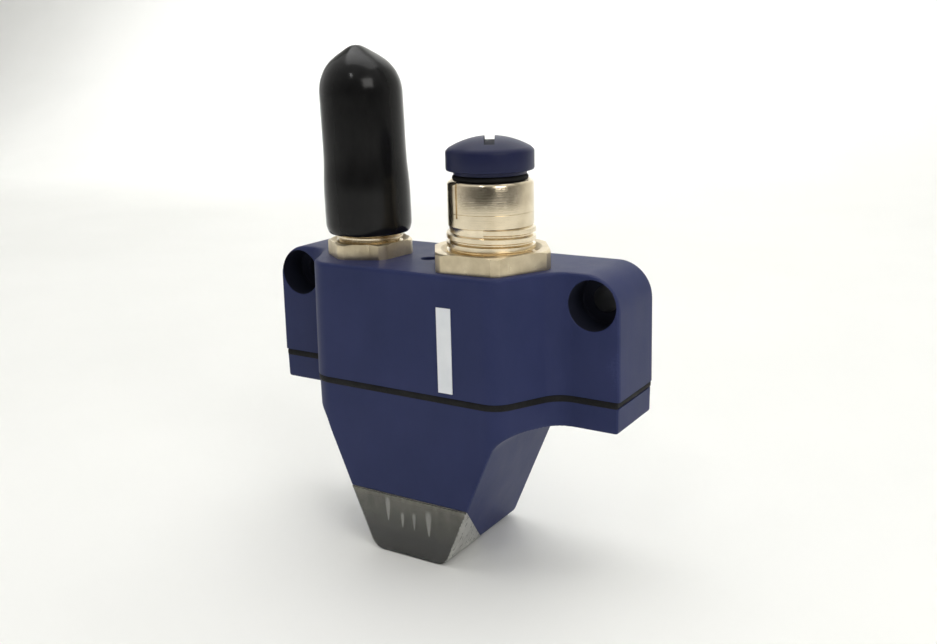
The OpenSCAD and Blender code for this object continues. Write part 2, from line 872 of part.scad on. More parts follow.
// Four wires between the lamp board and the radio board.
module led_leads() {
    low = wall + led_lift + led_h + led_board_t + 0.2;
    low_y = -depth + lens_run / 2 + low * sin(lens_angle);
    low_z = z_tip + lens_rise / 2 + low * cos(lens_angle);
    high_y = radio_y - radio_board_t / 2 - 0.2;
    high_z = z_radio - radio_board_h + 0.6;
    run = sqrt(pow(high_y - low_y, 2) + pow(high_z - low_z, 2));
    color([0.8, 0.25, 0.2])
        for (i = [-1.5:1:1.5])
            translate([i * 1.6, low_y, low_z])
                rotate([-atan2(high_y - low_y, high_z - low_z), 0, 0])
                    cylinder(d = lead_d, h = run, $fn = 16);
}

upper_housing();
lower_housing();
housing_gasket();
light_guide();
front_label();
housing_screws();
male_shell();
male_nut();
male_insert();
male_pins();
male_seal();
dust_cap();
female_shell();
female_nut();
female_insert();
female_contacts();
female_seal();
blanking_plug();
plug_seal();
main_board();
radio_board();
shield_can();
antenna();
board_header();
controller_chip();
capacitors();
led_board();
leds();
led_leads();
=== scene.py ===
import math

import bmesh
import bpy
import numpy as np
from mathutils import Matrix, Vector


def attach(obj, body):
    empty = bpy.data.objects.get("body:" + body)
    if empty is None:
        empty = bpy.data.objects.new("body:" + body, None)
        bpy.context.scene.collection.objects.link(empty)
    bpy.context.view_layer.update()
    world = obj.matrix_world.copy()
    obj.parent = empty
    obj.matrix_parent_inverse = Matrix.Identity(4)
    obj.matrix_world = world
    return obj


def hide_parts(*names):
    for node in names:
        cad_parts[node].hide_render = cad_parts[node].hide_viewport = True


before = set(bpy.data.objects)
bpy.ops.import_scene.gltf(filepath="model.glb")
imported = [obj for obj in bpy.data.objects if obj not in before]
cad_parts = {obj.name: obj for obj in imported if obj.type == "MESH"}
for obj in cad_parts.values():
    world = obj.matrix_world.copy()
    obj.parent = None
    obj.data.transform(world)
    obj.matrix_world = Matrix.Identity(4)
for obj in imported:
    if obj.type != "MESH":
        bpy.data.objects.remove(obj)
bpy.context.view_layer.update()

MM = 0.001

# ---- sizes in millimetres, as in the solid model ------------------------------------------------

DEPTH = 24.9
EAR_DEPTH = 14.2
FLANK_ANGLE = math.radians(28)
FRONT_HALF = 18.81
HALF_WIDTH = 35.5
FRONT_CORNER_R = 4.5
FLANK_FILLET_R = 4.8
EAR_CORNER_R = 6.1
WALL = 2.0
Z_TOP = 5.1
Z_SEAM = Z_TOP - 20.8
Z_LOW = Z_SEAM - 1.2
Z_EAR = Z_LOW - 4.45
Z_TIP = Z_TOP - 52.3
Z_FLANGE = Z_TOP - 2.6
SEAM_STEP = 0.2
NOSE_TOP_HALF = 18.5
NOSE_TIP_HALF = 7.6
NOSE_CORNER_R = 3.0
NOSE_FILLET_R = 5.0
TIP_REAR_R = 2.0
LENS_RISE = 11.65
LENS_RUN = 12.8
GUIDE_SKIN = 0.3
GUIDE_FRONT = -24.9 + 0.2 + GUIDE_SKIN
STEM_D = 3.2
STEM_SPACING = 6.4
HOLE_X = 30.5
HOLE_D = 4.5
COUNTERBORE_D = 8.5
COUNTERBORE_DEPTH = 5.5
CONNECTOR_Y = -13.8
MALE_X = -13.727
FEMALE_X = 11.773
MALE_HEIGHT = 13.5
BARREL_D = 14.4
BARREL_HEIGHT = 14.4
MOUNT_THREAD_D = 15.0
MOUNT_PITCH = 1.41
MOUNT_THREAD_HEIGHT = 7.0
THREAD_D = 12.0
PITCH = 1.0
MALE_NUT_AF = 14.0
MALE_BAR_D = 15.3
MALE_NUT_HEIGHT = 2.7
FEMALE_NUT_AF = 19.0
FEMALE_BAR_D = 21.1
FEMALE_NUT_HEIGHT = 3.1
CAP_GAP = 4.0
CAP_HEIGHT = 32.5
PLUG_D = 14.7
PLUG_SIDE = 3.4
PLUG_DOME = 2.2
PLUG_GAP = 1.6
SLOT_WIDTH = 1.7
SLOT_DEPTH = 1.1
SLOT_TURN = 30
CAVITY_HALF = 21.4

EDGE_R = 0.55         # rounding of the mouldings' outer edges
LOWER_EDGE_R = 0.4    # the same on the lower moulding, which is crisper
EAR_DRAFT = 0.0004    # share by which the ears get narrower for each millimetre of height
BLOCK_DRAFT = 0.0013  # the same for the block between them
SKIN_STEP = 0.36      # spacing of the skin's faces on the two housings
ROOM_FRONT = 0.05     # brightness of the room in front of the unit
ROOM_BACK = 0.85      # and behind it

Z_RIM = Z_TOP + BARREL_HEIGHT
Z_HEAD = Z_RIM + PLUG_GAP
Z_CAP = Z_TOP + CAP_GAP
SLOPE_ANGLE = math.atan(LENS_RISE / LENS_RUN)
NOSE_LEAN = math.atan((NOSE_TOP_HALF - NOSE_TIP_HALF) / (Z_EAR - Z_TIP))


# ---- meshes -------------------------------------------------------------------------------------

def make_piece(name, points, faces, smooth_below=32):
    """A mesh object from points in millimetres, smooth except at edges sharper than the angle."""
    mesh = bpy.data.meshes.new(name)
    mesh.from_pydata([tuple(p) for p in np.asarray(points, float) * MM], [], [tuple(f) for f in faces])
    mesh.validate()
    piece = bpy.data.objects.new(name, mesh)
    bpy.context.collection.objects.link(piece)
    soften(piece, smooth_below)
    return piece


def soften(piece, smooth_below=32):
    mesh = piece.data
    mesh.polygons.foreach_set("use_smooth", [True] * len(mesh.polygons))
    mesh.set_sharp_from_angle(angle=math.radians(smooth_below))
    mesh.update()


def outward(piece):
    """Merges doubles and turns every face of a closed shell outwards."""
    shape = bmesh.new()
    shape.from_mesh(piece.data)
    bmesh.ops.remove_doubles(shape, verts=shape.verts, dist=1e-7)
    bmesh.ops.dissolve_degenerate(shape, edges=shape.edges, dist=1e-7)
    bmesh.ops.recalc_face_normals(shape, faces=shape.faces)
    shape.to_mesh(piece.data)
    shape.free()


def bake(piece):
    """Turns a piece and its live modifiers into a plain mesh."""
    settled = bpy.data.meshes.new_from_object(piece.evaluated_get(bpy.context.evaluated_depsgraph_get()))
    piece.modifiers.clear()
    old = piece.data
    piece.data = settled
    settled.name = piece.name
    bpy.data.meshes.remove(old)


def carve(piece, tools, operation="DIFFERENCE"):
    """Cuts, joins or keeps the common part of a piece and each tool, then removes the tools."""
    for tool in tools:
        step = piece.modifiers.new("carve", "BOOLEAN")
        step.operation = operation
        step.solver = "MANIFOLD"
        step.object = tool
        before = len(piece.data.polygons)
        bake(piece)
        if not piece.data.polygons:
            raise RuntimeError(f"{piece.name}: nothing left of {before} faces after {tool.name}")
        bpy.data.objects.remove(tool)
    return piece


def chamfer(piece, width, segments=2, angle=30):
    bevel = piece.modifiers.new("chamfer", "BEVEL")
    bevel.width = width * MM
    bevel.segments = segments
    bevel.limit_method = "ANGLE"
    bevel.angle_limit = math.radians(angle)
    bevel.harden_normals = False
    bake(piece)
    soften(piece, 40)


def turned(name, profile, centre=(0, 0), sides=96, lean=None, closed=False):
    """A body turned about a vertical axis. The profile is (radius, height) from one end to the other.

    A closed profile is a ring's section; an open one starts and ends on the axis."""
    angle = np.linspace(0, 2 * math.pi, sides, endpoint=False)
    points, rings = [], []
    for radius, height in profile:
        shift = lean(height) if lean else 0.0
        if radius < 1e-6:
            rings.append([len(points)])
            points.append((centre[0] + shift, centre[1], height))
        else:
            rings.append(list(range(len(points), len(points) + sides)))
            points += [(centre[0] + shift + radius * math.cos(a), centre[1] + radius * math.sin(a), height)
                       for a in angle]
    faces = []
    pairs = list(zip(rings, rings[1:] + rings[:1])) if closed else list(zip(rings, rings[1:]))
    for low, high in pairs:
        for i in range(sides):
            j = (i + 1) % sides
            corners = [low[i % len(low)], low[j % len(low)], high[j % len(high)], high[i % len(high)]]
            kept = [c for n, c in enumerate(corners) if c not in corners[:n]]
            if len(kept) > 2:
                faces.append(kept)
    piece = make_piece(name, points, faces)
    outward(piece)
    soften(piece)
    return piece


def prism(name, outline, low, high, axis="Z"):
    """A closed outline run along an axis. Along Y the outline is (x, z)."""
    count = len(outline)
    if axis == "Z":
        points = [(x, y, low) for x, y in outline] + [(x, y, high) for x, y in outline]
    elif axis == "Y":
        points = [(x, low, z) for x, z in outline] + [(x, high, z) for x, z in outline]
    else:
        points = [(low, y, z) for y, z in outline] + [(high, y, z) for y, z in outline]
    faces = [list(range(count))[::-1], list(range(count, 2 * count))]
    faces += [[i, (i + 1) % count, count + (i + 1) % count, count + i] for i in range(count)]
    piece = make_piece(name, points, faces)
    outward(piece)
    return piece


def bored(name, x, z, radii, sides=72):
    """A tool for holes along the depth: (radius, y) from the front backwards."""
    tool = turned(name, [(0, radii[0][1])] + list(radii) + [(0, radii[-1][1])], sides=sides)
    tool.data.transform(Matrix(((1, 0, 0, x * MM), (0, 0, 1, 0), (0, -1, 0, z * MM), (0, 0, 0, 1))))
    outward(tool)
    return tool


def cut_plane(piece, point, normal):
    """Keeps what lies behind the plane and closes the cut."""
    shape = bmesh.new()
    shape.from_mesh(piece.data)
    everything = shape.verts[:] + shape.edges[:] + shape.faces[:]
    bmesh.ops.bisect_plane(shape, geom=everything, dist=1e-7, plane_co=Vector(point) * MM,
                           plane_no=Vector(normal), clear_outer=True)
    rim = [e for e in shape.edges if e.is_boundary]
    bmesh.ops.holes_fill(shape, edges=rim, sides=0)
    bmesh.ops.recalc_face_normals(shape, faces=shape.faces)
    shape.to_mesh(piece.data)
    shape.free()


def arc(cx, cy, r, start, end, n=16):
    angles = np.radians(np.linspace(start, end, n + 1))
    return [(cx + r * math.cos(a), cy + r * math.sin(a)) for a in angles]


def mirrored(half):
    """A whole outline from its right half, which runs from the front to the back."""
    return list(half) + [(-x, y) for x, y in reversed(half)]


# ---- moulded housings ---------------------------------------------------------------------------

def flank_x(y, inset):
    return FRONT_HALF + (y + DEPTH) * math.tan(FLANK_ANGLE) - inset / math.cos(FLANK_ANGLE)


def plan(inset, ear_end, steps=24):
    """The housing from above. The ears end at ear_end on either side."""
    front, ear = inset - DEPTH, inset - EAR_DEPTH
    corner, fillet = max(FRONT_CORNER_R - inset, 0.5), FLANK_FILLET_R + inset
    bend = math.tan((math.pi / 2 - FLANK_ANGLE) / 2)
    lean = math.degrees(FLANK_ANGLE)
    half = arc(flank_x(front, inset) - corner * bend, front + corner, corner, -90, -lean, steps)
    half += arc(flank_x(ear, inset) + fillet * bend, ear - fillet, fillet, 180 - lean, 90, steps)
    half += [(ear_end, ear), (ear_end, -inset)]
    return mirrored(half)


def outline_field(x, y, outline):
    """Distance from the outline, negative inside, and the direction in which it grows."""
    best = np.full(x.shape, 1e9)
    off_x, off_y = np.zeros(x.shape), np.zeros(x.shape)
    inside = np.zeros(x.shape, bool)
    corners = np.asarray(outline, float)
    for p, q in zip(corners, np.roll(corners, -1, axis=0)):
        edge = q - p
        rx, ry = x - p[0], y - p[1]
        along = np.clip((rx * edge[0] + ry * edge[1]) / (edge @ edge), 0, 1)
        dx, dy = rx - along * edge[0], ry - along * edge[1]
        away = dx * dx + dy * dy
        closer = away < best
        best = np.where(closer, away, best)
        off_x, off_y = np.where(closer, dx, off_x), np.where(closer, dy, off_y)
        if p[1] != q[1]:
            crosses = (p[1] > y) != (q[1] > y)
            inside ^= crosses & (x < p[0] + (y - p[1]) * edge[0] / edge[1])
    best = np.sqrt(best)
    sign = np.where(inside, -1.0, 1.0)
    scale = sign / np.maximum(best, 1e-9)
    return sign * best, off_x * scale, off_y * scale


def rounded_both(a, b, r):
    """Distance from the part inside both fields, its edge rounded by r, and each field's share."""
    wa, wb = np.maximum(a + r, 0), np.maximum(b + r, 0)
    reach = np.hypot(wa, wb)
    near = (wa > 0) & (wb > 0)
    share_a = np.where(near, wa / np.maximum(reach, 1e-9), (a >= b) * 1.0)
    share_b = np.where(near, wb / np.maximum(reach, 1e-9), (a < b) * 1.0)
    return np.where(near, reach - r, np.maximum(a, b)), share_a, share_b


def skin(name, top_view, front_view, rounding, step=SKIN_STEP):
    """The skin of the solid that fills both outlines, with all their common edges rounded."""
    low = np.array([min(p[0] for p in front_view), min(p[1] for p in top_view),
        min(p[1] for p in front_view)])
    high = -np.array([min(-p[0] for p in front_view), min(-p[1] for p in top_view),
        min(-p[1] for p in front_view)])
    axes = [np.arange(l - 1.37 * step, h + 1.9 * step, step) for l, h in zip(low, high)]
    flat_x, flat_y = np.meshgrid(axes[0], axes[1], indexing="ij")
    a = outline_field(flat_x, flat_y, top_view)[0][:, :, None]
    flat_x, flat_z = np.meshgrid(axes[0], axes[2], indexing="ij")
    b = outline_field(flat_x, flat_z, front_view)[0][:, None, :]
    inside = rounded_both(*np.broadcast_arrays(a, b), rounding)[0] < 0
    corners = [inside[i:len(axes[0]) - 1 + i, j:len(axes[1]) - 1 + j, k:len(axes[2]) - 1 + k]
               for i in (0, 1) for j in (0, 1) for k in (0, 1)]
    mixed = np.logical_or.reduce(corners) & ~np.logical_and.reduce(corners)
    number = np.full(mixed.shape, -1)
    number[mixed] = np.arange(mixed.sum())
    where = np.argwhere(mixed)
    points = np.stack([axes[k][where[:, k]] + step / 2 for k in range(3)], 1)
    quads = []
    for k in range(3):
        i, j = (k + 1) % 3, (k + 2) % 3
        size = inside.shape[k]
        below = inside.take(range(size - 1), axis=k)
        change = np.argwhere(below != inside.take(range(1, size), axis=k))
        full = below[tuple(change.T)]
        ring = []
        for di, dj in ((-1, -1), (0, -1), (0, 0), (-1, 0)):
            cell = change.copy()
            cell[:, i] += di
            cell[:, j] += dj
            ring.append(number[tuple(cell.T)])
        ring = np.stack(ring, 1)
        quads.append(np.where(full[:, None], ring, ring[:, ::-1]))
    for _ in range(5):
        a, ax, ay = outline_field(points[:, 0], points[:, 1], top_view)
        b, bx, bz = outline_field(points[:, 0], points[:, 2], front_view)
        d, sa, sb = rounded_both(a, b, rounding)
        slope = np.stack([sa * ax + sb * bx, sa * ay, sb * bz], 1)
        points -= slope * (d / np.maximum((slope * slope).sum(1), 0.2))[:, None]
    return make_piece(name, points, np.concatenate(quads).tolist())


def draft(piece, widest, block_share):
    """Narrows a moulding with its distance from the height where it is widest."""
    mesh = piece.data
    co = np.empty(len(mesh.vertices) * 3)
    mesh.vertices.foreach_get("co", co)
    co = co.reshape(-1, 3)
    in_block = np.clip((-co[:, 1] / MM - EAR_DEPTH) / 6, 0, 1)
    share = EAR_DRAFT + (block_share - EAR_DRAFT) * in_block
    co[:, 0] *= 1 - share * np.abs(co[:, 2] / MM - widest)
    mesh.vertices.foreach_set("co", co.ravel())
    mesh.update()


def cavity(name, inset, low, high):
    """The block's hollow, which stops short of the ears."""
    reach = CAVITY_HALF + WALL - inset
    tool = prism(name, plan(inset, HALF_WIDTH - inset), low, high)
    return carve(tool, [prism(name + "_ends", [(-reach, -30), (reach, -30), (reach, 5), (-reach, 5)],
                              low - 1, high + 1)], "INTERSECT")


def screw_hole(x, r, low, high):
    return turned("screw_hole", [(0, low), (r, low), (r, high), (0, high)], (x, -EAR_DEPTH / 2), 40)


def build_upper_housing():
    side = arc(HALF_WIDTH - EAR_CORNER_R, Z_TOP - EAR_CORNER_R, EAR_CORNER_R, 0, 90, 24)
    front = mirrored([(HALF_WIDTH, Z_SEAM - 2)] + side)
    piece = skin("upper_housing_moulding", plan(0, HALF_WIDTH + 4), front, EDGE_R)
    cut_plane(piece, (0, 0, Z_SEAM), (0, 0, -1))
    draft(piece, Z_SEAM, BLOCK_DRAFT)
    tools = [cavity("hollow", WALL, Z_SEAM - 1, Z_FLANGE)]
    tools.append(turned("recess", [(0, Z_TOP - 0.6), (1.35, Z_TOP - 0.6), (1.45, Z_TOP - 0.5), (1.45,
        Z_TOP - 0.12),
                                   (1.75, Z_TOP + 0.2), (0, Z_TOP + 0.2)], ((MALE_X + FEMALE_X) / 2,
                                       CONNECTOR_Y), 48))
    for x, r in ((MALE_X, THREAD_D / 2 + 0.1), (FEMALE_X, MOUNT_THREAD_D / 2 + 0.1)):
        tools.append(turned("port", [(0, Z_FLANGE - 1), (r, Z_FLANGE - 1), (r, Z_TOP + 1), (0, Z_TOP + 1)],
                            (x, CONNECTOR_Y)))
    r = COUNTERBORE_D / 2
    floor = EAR_DEPTH - COUNTERBORE_DEPTH
    for x in (-HOLE_X, HOLE_X):
        tools.append(bored("counterbore", x, 0, [
            (r + 0.12, -DEPTH), (r + 0.12, -EAR_DEPTH), (r, -EAR_DEPTH + 0.12), (r - 0.08, -floor - 0.15),
            (r - 0.3, -floor), (HOLE_D / 2 + 0.2, -floor), (HOLE_D / 2, -floor + 0.2), (HOLE_D / 2, 1)]))
        low = Z_SEAM - 1
        tools.append(screw_hole(math.copysign(29.5, x), 1.55, low, -11.5))
    carve(piece, tools)
    soften(piece, 28)
    return piece


def nose_front_view(inset=0.0):
    """The lower moulding from the front: ear flanges, leaning sides and a rounded tip."""
    lean = math.degrees(NOSE_LEAN)
    side = HALF_WIDTH - SEAM_STEP - inset
    shrink = inset / math.cos(NOSE_LEAN)
    bottom = Z_TIP + inset
    tip_half = NOSE_TIP_HALF + inset * math.tan(NOSE_LEAN) - shrink
    r = max(NOSE_CORNER_R - inset, 0.6)
    half = arc(tip_half - r * math.tan(math.radians(90 - lean) / 2), bottom + r, r, -90, -lean, 18)
    shoulder = Z_EAR + inset
    top_half = NOSE_TOP_HALF + inset * math.tan(NOSE_LEAN) - shrink
    fillet = NOSE_FILLET_R + inset
    swing = fillet * math.tan(math.radians(90 - lean) / 2)
    half += arc(top_half + swing, shoulder - fillet, fillet, 180 - lean, 90, 20)
    half += arc(side - 0.5, shoulder + 0.5, 0.5, -90, 0, 6)
    half += [(side, Z_LOW + 3)]
    return mirrored(half)


def nose_side_view():
    """The lower moulding from the side, where only the tip's lower rear edge is rounded."""
    rear = arc(-SEAM_STEP - TIP_REAR_R, Z_TIP + TIP_REAR_R, TIP_REAR_R, -90, 0, 14)
    above = Z_TIP + 2 * TIP_REAR_R + NOSE_CORNER_R
    return [(-DEPTH - 5, Z_TIP)] + rear + [(-SEAM_STEP, above), (5, above + 1), (5, Z_LOW + 5), (-DEPTH - 5,
        Z_LOW + 5)]


def slope_point(lift):
    """A point on the plane that parts the light guide from the housing, lifted into the housing."""
    return (0, -DEPTH + LENS_RUN / 2 + lift * math.sin(SLOPE_ANGLE),
        Z_TIP + LENS_RISE / 2 + lift * math.cos(SLOPE_ANGLE))


SLOPE_NORMAL = Vector((0, math.sin(SLOPE_ANGLE), math.cos(SLOPE_ANGLE)))


def stem(name, x, r, low, high, sides=40):
    tool = turned(name, [(0, low), (r, low), (r, high), (0, high)], sides=sides)
    spot = Vector(slope_point(0)) * MM
    tool.data.transform(Matrix.Translation((x * MM, spot.y, spot.z)) @ Matrix.Rotation(-SLOPE_ANGLE, 4, "X"))
    return tool


def build_lower_housing():
    piece = skin("lower_housing_moulding", plan(SEAM_STEP, HALF_WIDTH + 4), nose_front_view(), LOWER_EDGE_R)
    cut_plane(piece, (0, 0, Z_LOW), (0, 0, 1))
    carve(piece, [prism("side_view", nose_side_view(), -HALF_WIDTH - 1, HALF_WIDTH + 1, "X")], "INTERSECT")
    glass = piece.copy()
    glass.data = piece.data.copy()
    glass.name = glass.data.name = "light_guide_moulding"
    bpy.context.collection.objects.link(glass)
    cut_plane(piece, slope_point(0.06), -SLOPE_NORMAL)
    draft(piece, Z_LOW, EAR_DRAFT)
    hollow = carve(cavity("hollow", WALL, Z_TIP - 1, Z_LOW + 1), [
        prism("nose_hollow", nose_front_view(WALL), -DEPTH - 2, 2, "Y")], "INTERSECT")
    cut_plane(hollow, slope_point(WALL), -SLOPE_NORMAL)
    tools = [hollow]
    for side in (-1, 1):
        tools.append(stem("stem_hole", side * STEM_SPACING / 2, STEM_D / 2 + 0.05, -1, WALL + 1))
        tools.append(screw_hole(side * 29.5, 1.7, Z_EAR - 1, Z_LOW + 1))
        tools.append(screw_hole(side * 29.5, 2.9, Z_EAR - 1, Z_EAR + 2))
    carve(piece, tools)
    soften(piece, 28)
    return piece, glass


def finish_light_guide(piece):
    """Hollows the tip out, down to its clear skin."""
    cut_plane(piece, slope_point(-0.04), SLOPE_NORMAL)
    hollow = prism("guide_hollow", nose_front_view(GUIDE_SKIN), GUIDE_FRONT, -GUIDE_SKIN, "Y")
    cut_plane(hollow, slope_point(-0.7), SLOPE_NORMAL)
    carve(piece, [hollow])
    soften(piece, 28)
    return piece


def build_guide_core():
    """The inner block just behind the clear skin, which carries the guide's painted shade and painted light."""
    inset = GUIDE_SKIN + 0.03
    core = prism("light_guide_core", nose_front_view(inset), GUIDE_FRONT + 0.05, -inset, "Y")
    cut_plane(core, slope_point(-0.12), SLOPE_NORMAL)
    soften(core, 28)
    return core


def build_stem(side):
    """A stem of the light guide, in its hole in the lower housing's floor."""
    r = STEM_D / 2
    piece = turned("light_guide_stem_" + ("left" if side < 0 else "right"),
                   [(0, WALL - 0.1), (r - 0.1, WALL - 0.1), (r, WALL - 0.2), (r, 0.05), (0, 0.05)], sides=48)
    spot = Vector(slope_point(0)) * MM
    piece.data.transform(Matrix.Translation((side * STEM_SPACING / 2 * MM, spot.y, spot.z))
                         @ Matrix.Rotation(-SLOPE_ANGLE, 4, "X"))
    outward(piece)
    soften(piece, 28)
    return piece


def build_gasket():
    """A soft strip pressed between the mouldings: its upper edge swells out unevenly."""
    path = np.asarray(plan(0.16, HALF_WIDTH - 0.42, 20))
    lengths = np.r_[0, np.cumsum(np.hypot(*np.diff(np.vstack([path, path[:1]]), axis=0).T))]
    total = lengths[-1]
    count = 520
    at = np.linspace(0, total, count, endpoint=False)
    closed = np.vstack([path, path[:1]])
    x = np.interp(at, lengths, closed[:, 0])
    y = np.interp(at, lengths, closed[:, 1])
    ahead = np.stack([np.roll(x, -2) - np.roll(x, 2), np.roll(y, -2) - np.roll(y, 2)], 1)
    ahead /= np.linalg.norm(ahead, axis=1)[:, None]
    out = np.stack([ahead[:, 1], -ahead[:, 0]], 1)
    turn = 2 * math.pi * at / total
    swell = 0.5 * np.sin(11 * turn + 0.6) + 0.3 * np.sin(23 * turn + 2.1) + 0.2 * np.sin(41 * turn + 4.0)
    section = [(-1.7, -0.58), (0.0, -0.6), (0.12, -0.45), (0.14, 0.0), (0.12, 0.4), (-0.02, 0.6), (-1.7, 0.6)]
    middle = (Z_SEAM + Z_LOW) / 2
    points, faces = [], []
    for i in range(count):
        for k, (s, h) in enumerate(section):
            bulge = s + (0.05 * swell[i] if 2 <= k <= 5 else 0.0)
            lift = 0.05 * swell[i] if k in (4, 5) else 0.0
            px = min(max(x[i] + out[i, 0] * bulge, -HALF_WIDTH), HALF_WIDTH)
            py = min(y[i] + out[i, 1] * bulge, -0.02)
            points.append((px, max(py, -DEPTH), middle + h + lift))
    size = len(section)
    for i in range(count):
        j = (i + 1) % count
        for k in range(size):
            m = (k + 1) % size
            faces.append([i * size + k, j * size + k, j * size + m, i * size + m])
    piece = make_piece("gasket_strip", points, faces)
    outward(piece)
    soften(piece, 50)
    return piece


# ---- threads ------------------------------------------------------------------------------------

def coil_tree():
    """Geometry nodes: a ridge or a wire that runs round an axis as a helix, thinner at its two ends."""
    tree = bpy.data.node_groups.new("helical_ridge", "GeometryNodeTree")
    face = tree.interface
    for name, kind, value in (("Radius", "NodeSocketFloat", 0.006), ("Pitch", "NodeSocketFloat", 0.001),
                              ("Turns", "NodeSocketFloat", 5.0), ("Root width", "NodeSocketFloat", 0.0008),
                              ("Crest width", "NodeSocketFloat", 0.0002), ("Depth", "NodeSocketFloat",
                                  0.0005),
                              ("Run out", "NodeSocketFloat", 0.06), ("Steps a turn", "NodeSocketInt", 72),
                              ("Finish", "NodeSocketMaterial", None)):
        socket = face.new_socket(name, in_out="INPUT", socket_type=kind)
        if value is not None:
            socket.default_value = value
    face.new_socket("Mesh", in_out="OUTPUT", socket_type="NodeSocketGeometry")
    nodes, links = tree.nodes, tree.links
    given = nodes.new("NodeGroupInput")
    result = nodes.new("NodeGroupOutput")

    def math_node(operation, *values):
        node = nodes.new("ShaderNodeMath")
        node.operation = operation
        for slot, value in zip(node.inputs, values):
            if isinstance(value, (int, float)):
                slot.default_value = value
            else:
                links.new(value, slot)
        return node.outputs[0]

    path = nodes.new("GeometryNodeCurveSpiral")
    links.new(given.outputs["Turns"], path.inputs["Rotations"])
    links.new(given.outputs["Steps a turn"], path.inputs["Resolution"])
    links.new(given.outputs["Radius"], path.inputs["Start Radius"])
    links.new(given.outputs["Radius"], path.inputs["End Radius"])
    links.new(math_node("MULTIPLY", given.outputs["Pitch"], given.outputs["Turns"]), path.inputs["Height"])
    # the ridge thins out over its first and last share of the path
    place = nodes.new("GeometryNodeSplineParameter").outputs["Factor"]
    start = math_node("DIVIDE", place, given.outputs["Run out"])
    end = math_node("DIVIDE", math_node("SUBTRACT", 1.0, place), given.outputs["Run out"])
    thin = math_node("MAXIMUM", math_node("MINIMUM", math_node("MINIMUM", start, end), 1.0), 0.12)
    scaled = nodes.new("GeometryNodeSetCurveRadius")
    links.new(path.outputs["Curve"], scaled.inputs["Curve"])
    links.new(thin, scaled.inputs["Radius"])
    upright = nodes.new("GeometryNodeSetCurveNormal")
    upright.mode = "Z_UP"
    links.new(scaled.outputs["Curve"], upright.inputs["Curve"])
    section = nodes.new("GeometryNodeCurvePrimitiveQuadrilateral")
    section.mode = "TRAPEZOID"
    links.new(given.outputs["Root width"], section.inputs["Bottom Width"])
    links.new(given.outputs["Crest width"], section.inputs["Top Width"])
    links.new(given.outputs["Depth"], section.inputs["Height"])
    section.inputs["Offset"].default_value = 0.0
    # the sweep lays the section's X along the radius, so a quarter turn brings the crest outwards
    turned = nodes.new("GeometryNodeTransform")
    turned.inputs["Rotation"].default_value = (0, 0, math.radians(90))
    links.new(section.outputs["Curve"], turned.inputs["Geometry"])
    sweep = nodes.new("GeometryNodeCurveToMesh")
    links.new(upright.outputs["Curve"], sweep.inputs["Curve"])
    links.new(turned.outputs["Geometry"], sweep.inputs["Profile Curve"])
    sweep.inputs["Fill Caps"].default_value = True
    real = nodes.new("GeometryNodeRealizeInstances")
    painted = nodes.new("GeometryNodeSetMaterial")
    links.new(sweep.outputs["Mesh"], real.inputs["Geometry"])
    links.new(real.outputs["Geometry"], painted.inputs["Geometry"])
    links.new(given.outputs["Finish"], painted.inputs["Material"])
    links.new(painted.outputs["Geometry"], result.inputs["Mesh"])
    return tree


COIL = coil_tree()


def grow_coil(name, finish, centre, base, turned_by=0.0, **sizes):
    """Runs the helix tree with these sizes and places the plain mesh. Lengths are in millimetres."""
    piece = bpy.data.objects.new(name, bpy.data.meshes.new(name))
    bpy.context.collection.objects.link(piece)
    grow = piece.modifiers.new("coil", "NODES")
    grow.node_group = COIL
    sockets = {s.name: s.identifier for s in COIL.interface.items_tree if s.in_out == "INPUT"}
    for word, value in sizes.items():
        label = word.replace("_", " ").capitalize()
        is_length = label in ("Radius", "Pitch", "Root width", "Crest width", "Depth")
        grow[sockets[label]] = value * MM if is_length else value
    grow[sockets["Finish"]] = finish
    bake(piece)
    turn = Matrix.Rotation(math.radians(turned_by), 4, "Z")
    piece.data.transform(Matrix.Translation((centre[0] * MM, centre[1] * MM, base * MM)) @ turn)
    outward(piece)
    return piece


def thread_ridge(name, finish, centre, crest_d, pitch, cut, low, high, run_out=0.08, turned_by=0.0,
    crest=0.3):
    """The ridge of a right-hand outer thread, its root sunk a little into the core."""
    turns = (high - low) / pitch - 0.9
    return grow_coil(name, finish, centre, low + 0.45 * pitch, turned_by, radius=crest_d / 2 - cut / 2 - 0.04,
                     pitch=pitch, turns=turns, root_width=0.96 * pitch, crest_width=crest * pitch,
                     depth=cut + 0.08, run_out=run_out, steps_a_turn=72)


# ---- surfaces -----------------------------------------------------------------------------------

